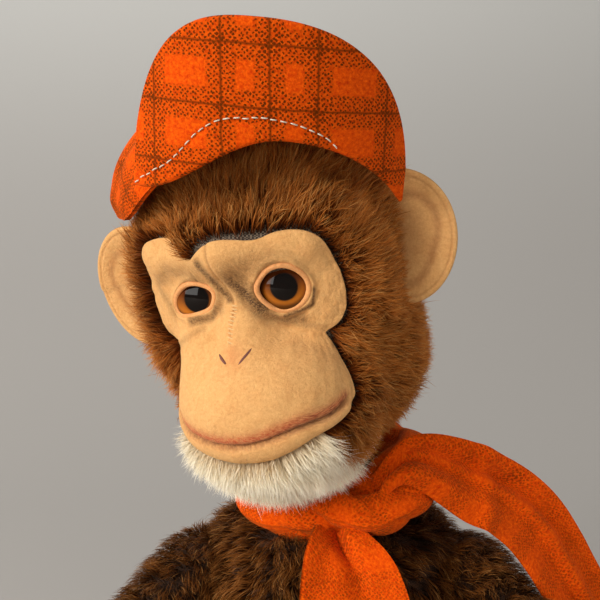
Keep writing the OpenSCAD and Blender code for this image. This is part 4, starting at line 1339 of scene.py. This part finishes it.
def make_torso_fur():
    area = cell_areas(torso_surface, 60, 80)
    p = scatter_on(torso_surface, area, 3.0)
    slope = np.interp(p[:, 2], TORSO[:-1, 0], np.diff(TORSO[:, 1]) / np.diff(TORSO[:, 0]))
    round_z = np.arctan2(p[:, 1], p[:, 0])
    normals = unit(np.stack([np.cos(round_z), np.sin(round_z), np.minimum(-slope, 3)], -1))
    at_key = (np.hypot(p[:, 0], p[:, 2] - 46) < 5.5) & (p[:, 1] > 0)
    under_tail = (np.abs(p[:, 0] - 8) < 14) & (p[:, 1] < 0) & (p[:, 2] > 60)
    keep = clear_of_arms(p) & ~at_key & (np.hypot(p[:, 0], p[:, 1]) > 17)
    length = 10.4 + 1.6 * noise(p, 9, 81) + 1.5 * rng.normal(size=len(p))
    length = length * (1 - 0.4 * under_tail)
    flow = unit(np.stack([0.6 * normals[:, 0], 0.6 * normals[:, 1], np.full(len(p), -1.0)], -1))
    made = add_fur("torso_fur", p[keep], normals[keep], flow[keep], length[keep], BODY_STYLE, FUR,
                   "torso")
    floored(made)


def chain_surface(path, radius):
    """A surface of revolution around a bent path, closed at its ends."""
    path, radius = np.asarray(path), np.asarray(radius)
    _, side, top = path_frames(path, np.array([0, 0, 1.0]))

    def surface(u, v):
        at = u * (len(path) - 1)
        pick = [np.stack([np.interp(at, np.arange(len(path)), a[:, k]) for k in range(3)], -1)
                for a in (path, side, top)]
        r = np.interp(at, np.arange(len(path)), radius)[..., None]
        angle = (2 * math.pi * v)[..., None]
        return pick[0] + r * (pick[1] * np.cos(angle) + pick[2] * np.sin(angle))

    return surface


def limb_path(points, radii, count, inset):
    """Path and radius of a limb, rounded off at both ends."""
    path = smooth_path(points, count)
    knots = np.linspace(0, 1, len(points))
    t = np.linspace(0, 1, count)
    radius = np.interp(t, knots, radii) - inset
    run = run_along(path)
    for distance, end in ((run, radius[0]), (run[-1] - run, radius[-1])):
        near = np.clip(distance / end, 0.02, 1)
        radius = radius * np.sqrt(1 - (1 - near) ** 2)
    return path, radius


def limb(name, path, radius, place, node, density, comb, side, end):
    """A stuffed limb with its pile, on the body of its own name.

    place puts points in the row frame, comb is how much the pile runs along the limb and down, and
    the pile stops at end, measured forwards.
    """
    surface = chain_surface(path, radius)
    rows, columns = 60, 48
    points = place(surface(*grid_places(rows, columns)).reshape(-1, 3))
    obj = new_object(name + "_stuffed", points, capped_grid(rows, columns, side < 0), BODY_BACKING, name)
    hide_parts(node)
    p = scatter_on(surface, cell_areas(surface, 40, 30), density)
    nearest = np.argmin(((p[:, None] - path[None, ::2]) ** 2).sum(-1), 1) * 2
    tangent = path_frames(path, np.array([0, 0, 1.0]))[0][nearest]
    normals = unit(p - path[nearest])
    flow = unit(tangent * comb[0] + np.array([0, 0, -comb[1]]))
    flow = unit(flow - normals * np.sum(flow * normals, -1, keepdims=True))
    row = place(p)
    keep = np.hypot(row[:, 0], row[:, 1]) > np.interp(row[:, 2], TORSO[:, 0], TORSO[:, 1]) - 2
    keep &= p[:, 1] > end
    p, normals, flow = p[keep], normals[keep], flow[keep]
    origin = place(np.zeros((1, 3)))
    length = 9.2 + 1.3 * noise(p, 11, 91) + 1.3 * rng.normal(size=len(p))
    made = add_fur(name + "_fur", place(p), place(normals) - origin, place(flow) - origin, length,
                   BODY_STYLE, FUR, name)
    floored(made)


ARM_PATH = [(33, -2, 80), (39, -6, 75), (49, -23, 64), (56, -38, 55.5), (50, -54, 51.5), (27, -71, 48),
            (21, -76, 46.6)]
ARM_RADIUS = [17, 16.4, 13.4, 11.6, 10.6, 8.6, 8.2]
ARM_PILE_END = -74.6
LEG_PATH = [(47, -2, 18), (52, -14, 17.4), (56, -36, 16.5), (58, -60, 15.3), (60, -80, 14.2),
            (61, -97, 13.2)]
LEG_RADIUS = [16.5, 17.2, 16, 14.3, 13.2, 12.4]
LEG_PILE_END = -97
LIMB_STEPS = 90
LIMB_INSET = 3.2
HAND_CENTRE = (18.5, -78, 47)
FOOT_CENTRE = (62.5, -106, 24)


def stitched_felt(name, form, centre, place, body, node, side, grooves):
    """A stuffed felt hand or foot with the toes' or fingers' stitching pressed in as grooves, with painted shade
    in them.
    """
    rows, columns = 70, 110
    direction = round_direction(*grid_places(rows, columns, 0.006, 0.994))
    p = cast(form, np.array(centre, float), direction, 5)
    depth = grooves(p)
    p = p - gradient(form, p) * (0.8 * depth)[..., None]
    # Painted shade: the felt is darkened in the stitched grooves
    colour = tinted(FELT_COLOUR, FELT_AIRBRUSH_AND_SHADE, 0.5 * depth)
    groups = capped_grid(rows, columns, side > 0)
    obj = new_object(name, place(p.reshape(-1, 3)), groups, PAINTED_FELT, body,
                     colour.reshape(-1, 3))
    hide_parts(node)


def hand_form(p):
    d = capsule(p, (18, -78, 47.5), (18, -78, 47.6), 8)
    d = blended(d, capsule(p, (20, -79, 43), (20, -79, 43.1), 6.5), 3)
    return blended(d, capsule(p, (20, -74, 50), (13, -84, 53), 3.2), 2.5)


def hand_grooves(p):
    total = 0
    for z in (43.5, 46.5, 49.5):
        total = total + bell(p[..., 2] - z, 0.45) * smooth(-p[..., 1], 79, 82)
    return np.clip(total, 0, 1)


def foot_form(p):
    d = capsule(p, (61.5, -104, 12.5), (63, -109, 30), 10.6)
    return blended(d, capsule(p, (63, -109, 30), (65, -106, 42), 6.8), 5)


def foot_grooves(p):
    total = 0
    for x in (57.5, 61.5, 65.5, 69.5):
        total = total + bell(p[..., 0] - x, 0.5) * smooth(p[..., 2], 31, 35)
    return np.clip(total, 0, 1)


def make_limbs(side, name):
    """The arm, leg, hand and foot of one side."""
    arm, leg = "arm_" + name, "leg_" + name
    arm_path, arm_radius = limb_path(ARM_PATH, ARM_RADIUS, LIMB_STEPS, LIMB_INSET)
    leg_path, leg_radius = limb_path(LEG_PATH, LEG_RADIUS, LIMB_STEPS, LIMB_INSET)

    def place_arm(p):
        return arm_to_row(p, side)

    def place_leg(p):
        return p * np.array([side, 1, 1.0])

    limb(arm, arm_path, arm_radius, place_arm, "arm_sleeve_" + name, 2.7, (0.9, 0.5), side, ARM_PILE_END)
    limb(leg, leg_path, leg_radius, place_leg, leg, 2.4, (0.9, 0.35), side, LEG_PILE_END)
    stitched_felt("hand_felt_" + name, hand_form, HAND_CENTRE, place_arm, arm, "hand_" + name, side,
                  hand_grooves)
    stitched_felt("foot_felt_" + name, foot_form, FOOT_CENTRE, place_leg, leg, "foot_" + name, side,
                  foot_grooves)


# ---------- CAD pieces' finishes, stage, light and camera ----------
def finish_cad():
    steel = metal_material("mill_steel", srgb(176, 178, 180), 0.34, 900.0, streak=(1, 6, 1))
    key = metal_material("plated_key", srgb(196, 196, 190), 0.24, 500.0)
    spring = metal_material("spring_steel_blue", srgb(96, 106, 122), 0.3, 900.0)
    tin = metal_material("tinned_sheet", srgb(182, 186, 190), 0.38, 260.0)
    brass = metal_material("clock_brass", srgb(204, 168, 92), 0.3, 900.0)
    cymbal = metal_material("cymbal_sheet", srgb(222, 184, 96), 0.22, 700.0, 0.00008)
    looks = {"wood": wood_material("base_wood"), "steel": steel, "key_steel": key, "spring_steel": spring,
             "tinplate": tin, "brass": brass, "cymbal_brass": cymbal,
             "fibre_board": fibre_material("neck_board", srgb(150, 116, 76)),
             "stuffing": fibre_material("neck_cloth", srgb(96, 60, 32))}
    for part in frame["record"]["subparts"]:
        obj = frame["nodes"][part["node"]]
        if part["material_slot"] in looks and not obj.hide_render:
            for place in obj.material_slots:
                place.material = looks[part["material_slot"]]


FLOOR_FRONT = -900
FLOOR_BACK = 260
BACKDROP_BEND = 1250
BACKDROP_RUN = 2500
BACKDROP_HALF = 1900


def make_stage():
    """A pale floor that curves up into a backdrop, both far from the toy, with painted shade low down and painted
    light higher up.
    """
    rows, columns = 120, 50
    floor = np.linspace(FLOOR_FRONT, FLOOR_BACK, 20, endpoint=False)
    run = np.concatenate([floor, np.linspace(FLOOR_BACK, BACKDROP_RUN, rows - 20)])
    bend = np.clip((run - FLOOR_BACK) / BACKDROP_BEND, 0, math.pi / 2)
    y = np.where(run < FLOOR_BACK, run, FLOOR_BACK + BACKDROP_BEND * np.sin(bend))
    wall = np.maximum(run - FLOOR_BACK - BACKDROP_BEND * math.pi / 2, 0)
    z = BACKDROP_BEND * (1 - np.cos(bend)) + wall
    x = np.linspace(-BACKDROP_HALF, BACKDROP_HALF, columns)
    grid = np.stack([np.broadcast_to(x, (rows, columns)), np.repeat(y[:, None], columns, 1),
                     np.repeat(z[:, None], columns, 1)], -1)
    mesh = bpy.data.meshes.new("backdrop")
    mesh.from_pydata((grid.reshape(-1, 3) * MM).tolist(), [], grid_quads(rows, columns).tolist())
    mesh.polygons.foreach_set("use_smooth", [True] * len(mesh.polygons))
    s = Shader("backdrop_paper", roughness=0.95)
    split = s.node("ShaderNodeSeparateXYZ", Vector=s.node("ShaderNodeTexCoord").outputs["Object"])
    # Painted light and shade: the paper is darker towards the bottom and lighter higher up
    high = s.node("ShaderNodeMapRange", {"interpolation_type": "SMOOTHSTEP"}, Value=split.outputs[2])
    s.set(high, "From Min", 0.05)
    s.set(high, "From Max", 0.6)
    painted_light_falloff = s.mix(high.outputs[0], srgb(166, 161, 155), srgb(200, 198, 192))
    s.look(Base_Color=s.mix(s.times(s.noise(3.0), 0.06), painted_light_falloff, srgb(150, 146, 142)))
    mesh.materials.append(s.material)
    obj = bpy.data.objects.new("backdrop", mesh)
    bpy.context.scene.collection.objects.link(obj)


def area_light(name, place, aim, size, power, colour):
    data = bpy.data.lights.new(name, "AREA")
    data.shape = "RECTANGLE"
    data.size, data.size_y = size
    data.energy = power
    data.color = colour
    obj = bpy.data.objects.new(name, data)
    obj.location = place
    obj.rotation_euler = (Vector(aim) - Vector(place)).to_track_quat("-Z", "Y").to_euler()
    bpy.context.scene.collection.objects.link(obj)
    return obj


def make_lights():
    aim = (0.0, -0.03, 0.17)
    area_light("window", (-0.95, -0.7, 0.6), aim, (0.8, 1.0), 15.0, (1.0, 0.97, 0.93))
    fill = area_light("front_fill", (0.3, -1.5, 1.3), aim, (1.6, 1.0), 5.0, (1.0, 0.97, 0.94))
    bounce = area_light("table_bounce", (-0.45, -0.9, 0.06), (0.0, -0.05, 0.14), (0.7, 0.3), 2.4,
                        (1.0, 0.95, 0.88))
    fill.visible_glossy = bounce.visible_glossy = False
    area_light("window_pane", (-0.8, -0.68, 0.55), aim, (0.13, 0.18), 2.4, (1.0, 0.98, 0.95))
    area_light("right_kicker", (0.9, -0.15, 0.2), aim, (0.2, 0.3), 1.6, (1.0, 0.98, 0.96))
    area_light("wall_wash", (-0.6, 0.35, 1.4), (0.1, 1.2, 0.7), (0.9, 0.9), 9.0, (0.96, 0.98, 1.0))
    world = bpy.data.worlds.new("room")
    world.use_nodes = True
    world.node_tree.nodes["Background"].inputs[0].default_value = (0.84, 0.83, 0.82, 1)
    world.node_tree.nodes["Background"].inputs[1].default_value = 0.34
    bpy.context.scene.world = world
    bpy.context.scene.view_settings.view_transform = "Standard"


# The camera's place in metres, its axes and its lens, from a fit to the photograph
CAMERA_PLACE = (0.0037, -0.3141, 0.2128)
CAMERA_RIGHT = (0.999, 0.044, -0.004)
CAMERA_BACK = (0.044, -0.988, 0.147)
CAMERA_LENS = 60.18


def make_camera():
    """At the photograph's place: a little above, looking at the head."""
    back = Vector(CAMERA_BACK).normalized()
    right = Vector(CAMERA_RIGHT).normalized()
    right = (right - back * right.dot(back)).normalized()
    up = back.cross(right)
    data = bpy.data.cameras.new("camera")
    data.sensor_width = 36
    data.lens = CAMERA_LENS
    data.clip_start = 0.02
    obj = bpy.data.objects.new("camera", data)
    turned = Matrix((right, up, back)).transposed().to_4x4()
    obj.matrix_world = Matrix.Translation(CAMERA_PLACE) @ turned
    bpy.context.scene.collection.objects.link(obj)
    bpy.context.scene.camera = obj


FUR = fur_material("brown_mohair_pile", 0.1, (0.9, 0.5, 0.22))
WHITE_FUR = fur_material("white_mohair_pile", 0.15, (1.0, 0.95, 0.85))
HEAD_BACKING = backing_material("pile_ground", srgb(44, 34, 26), srgb(150, 132, 112))
BODY_BACKING = backing_material("body_ground", srgb(38, 20, 8), srgb(88, 54, 28))
PAINTED_FELT = felt_material("painted_felt")
PLAIN_FELT = felt_material("plain_felt", srgb(242, 174, 112))
FLANNEL = flannel_material("check_flannel", 1.0, 0.8)
SCARF_FLANNEL = flannel_material("worn_check_flannel", 0.24, 1.05)
EYE_GLASS = glass_material("eye_glass")
WHITE_THREAD = thread_material("white_thread", srgb(236, 226, 200), 0.1)
SEAM_THREAD = thread_material("seam_thread", srgb(246, 196, 130), 0.05)
NOSTRIL_THREAD = thread_material("nostril_thread", srgb(128, 72, 60), 0.2)

make_head()
make_head_fur()
make_face()
make_eye(1, "glass_eye_left")
make_eye(-1, "glass_eye_right")
make_lids()
make_ear(1, "ear_felt_left")
make_ear(-1, "ear_felt_right")
make_bill()
make_crown()
make_torso()
make_torso_fur()
make_limbs(1, "left")
make_limbs(-1, "right")
make_scarf()
finish_cad()
make_stage()
make_lights()
make_camera()
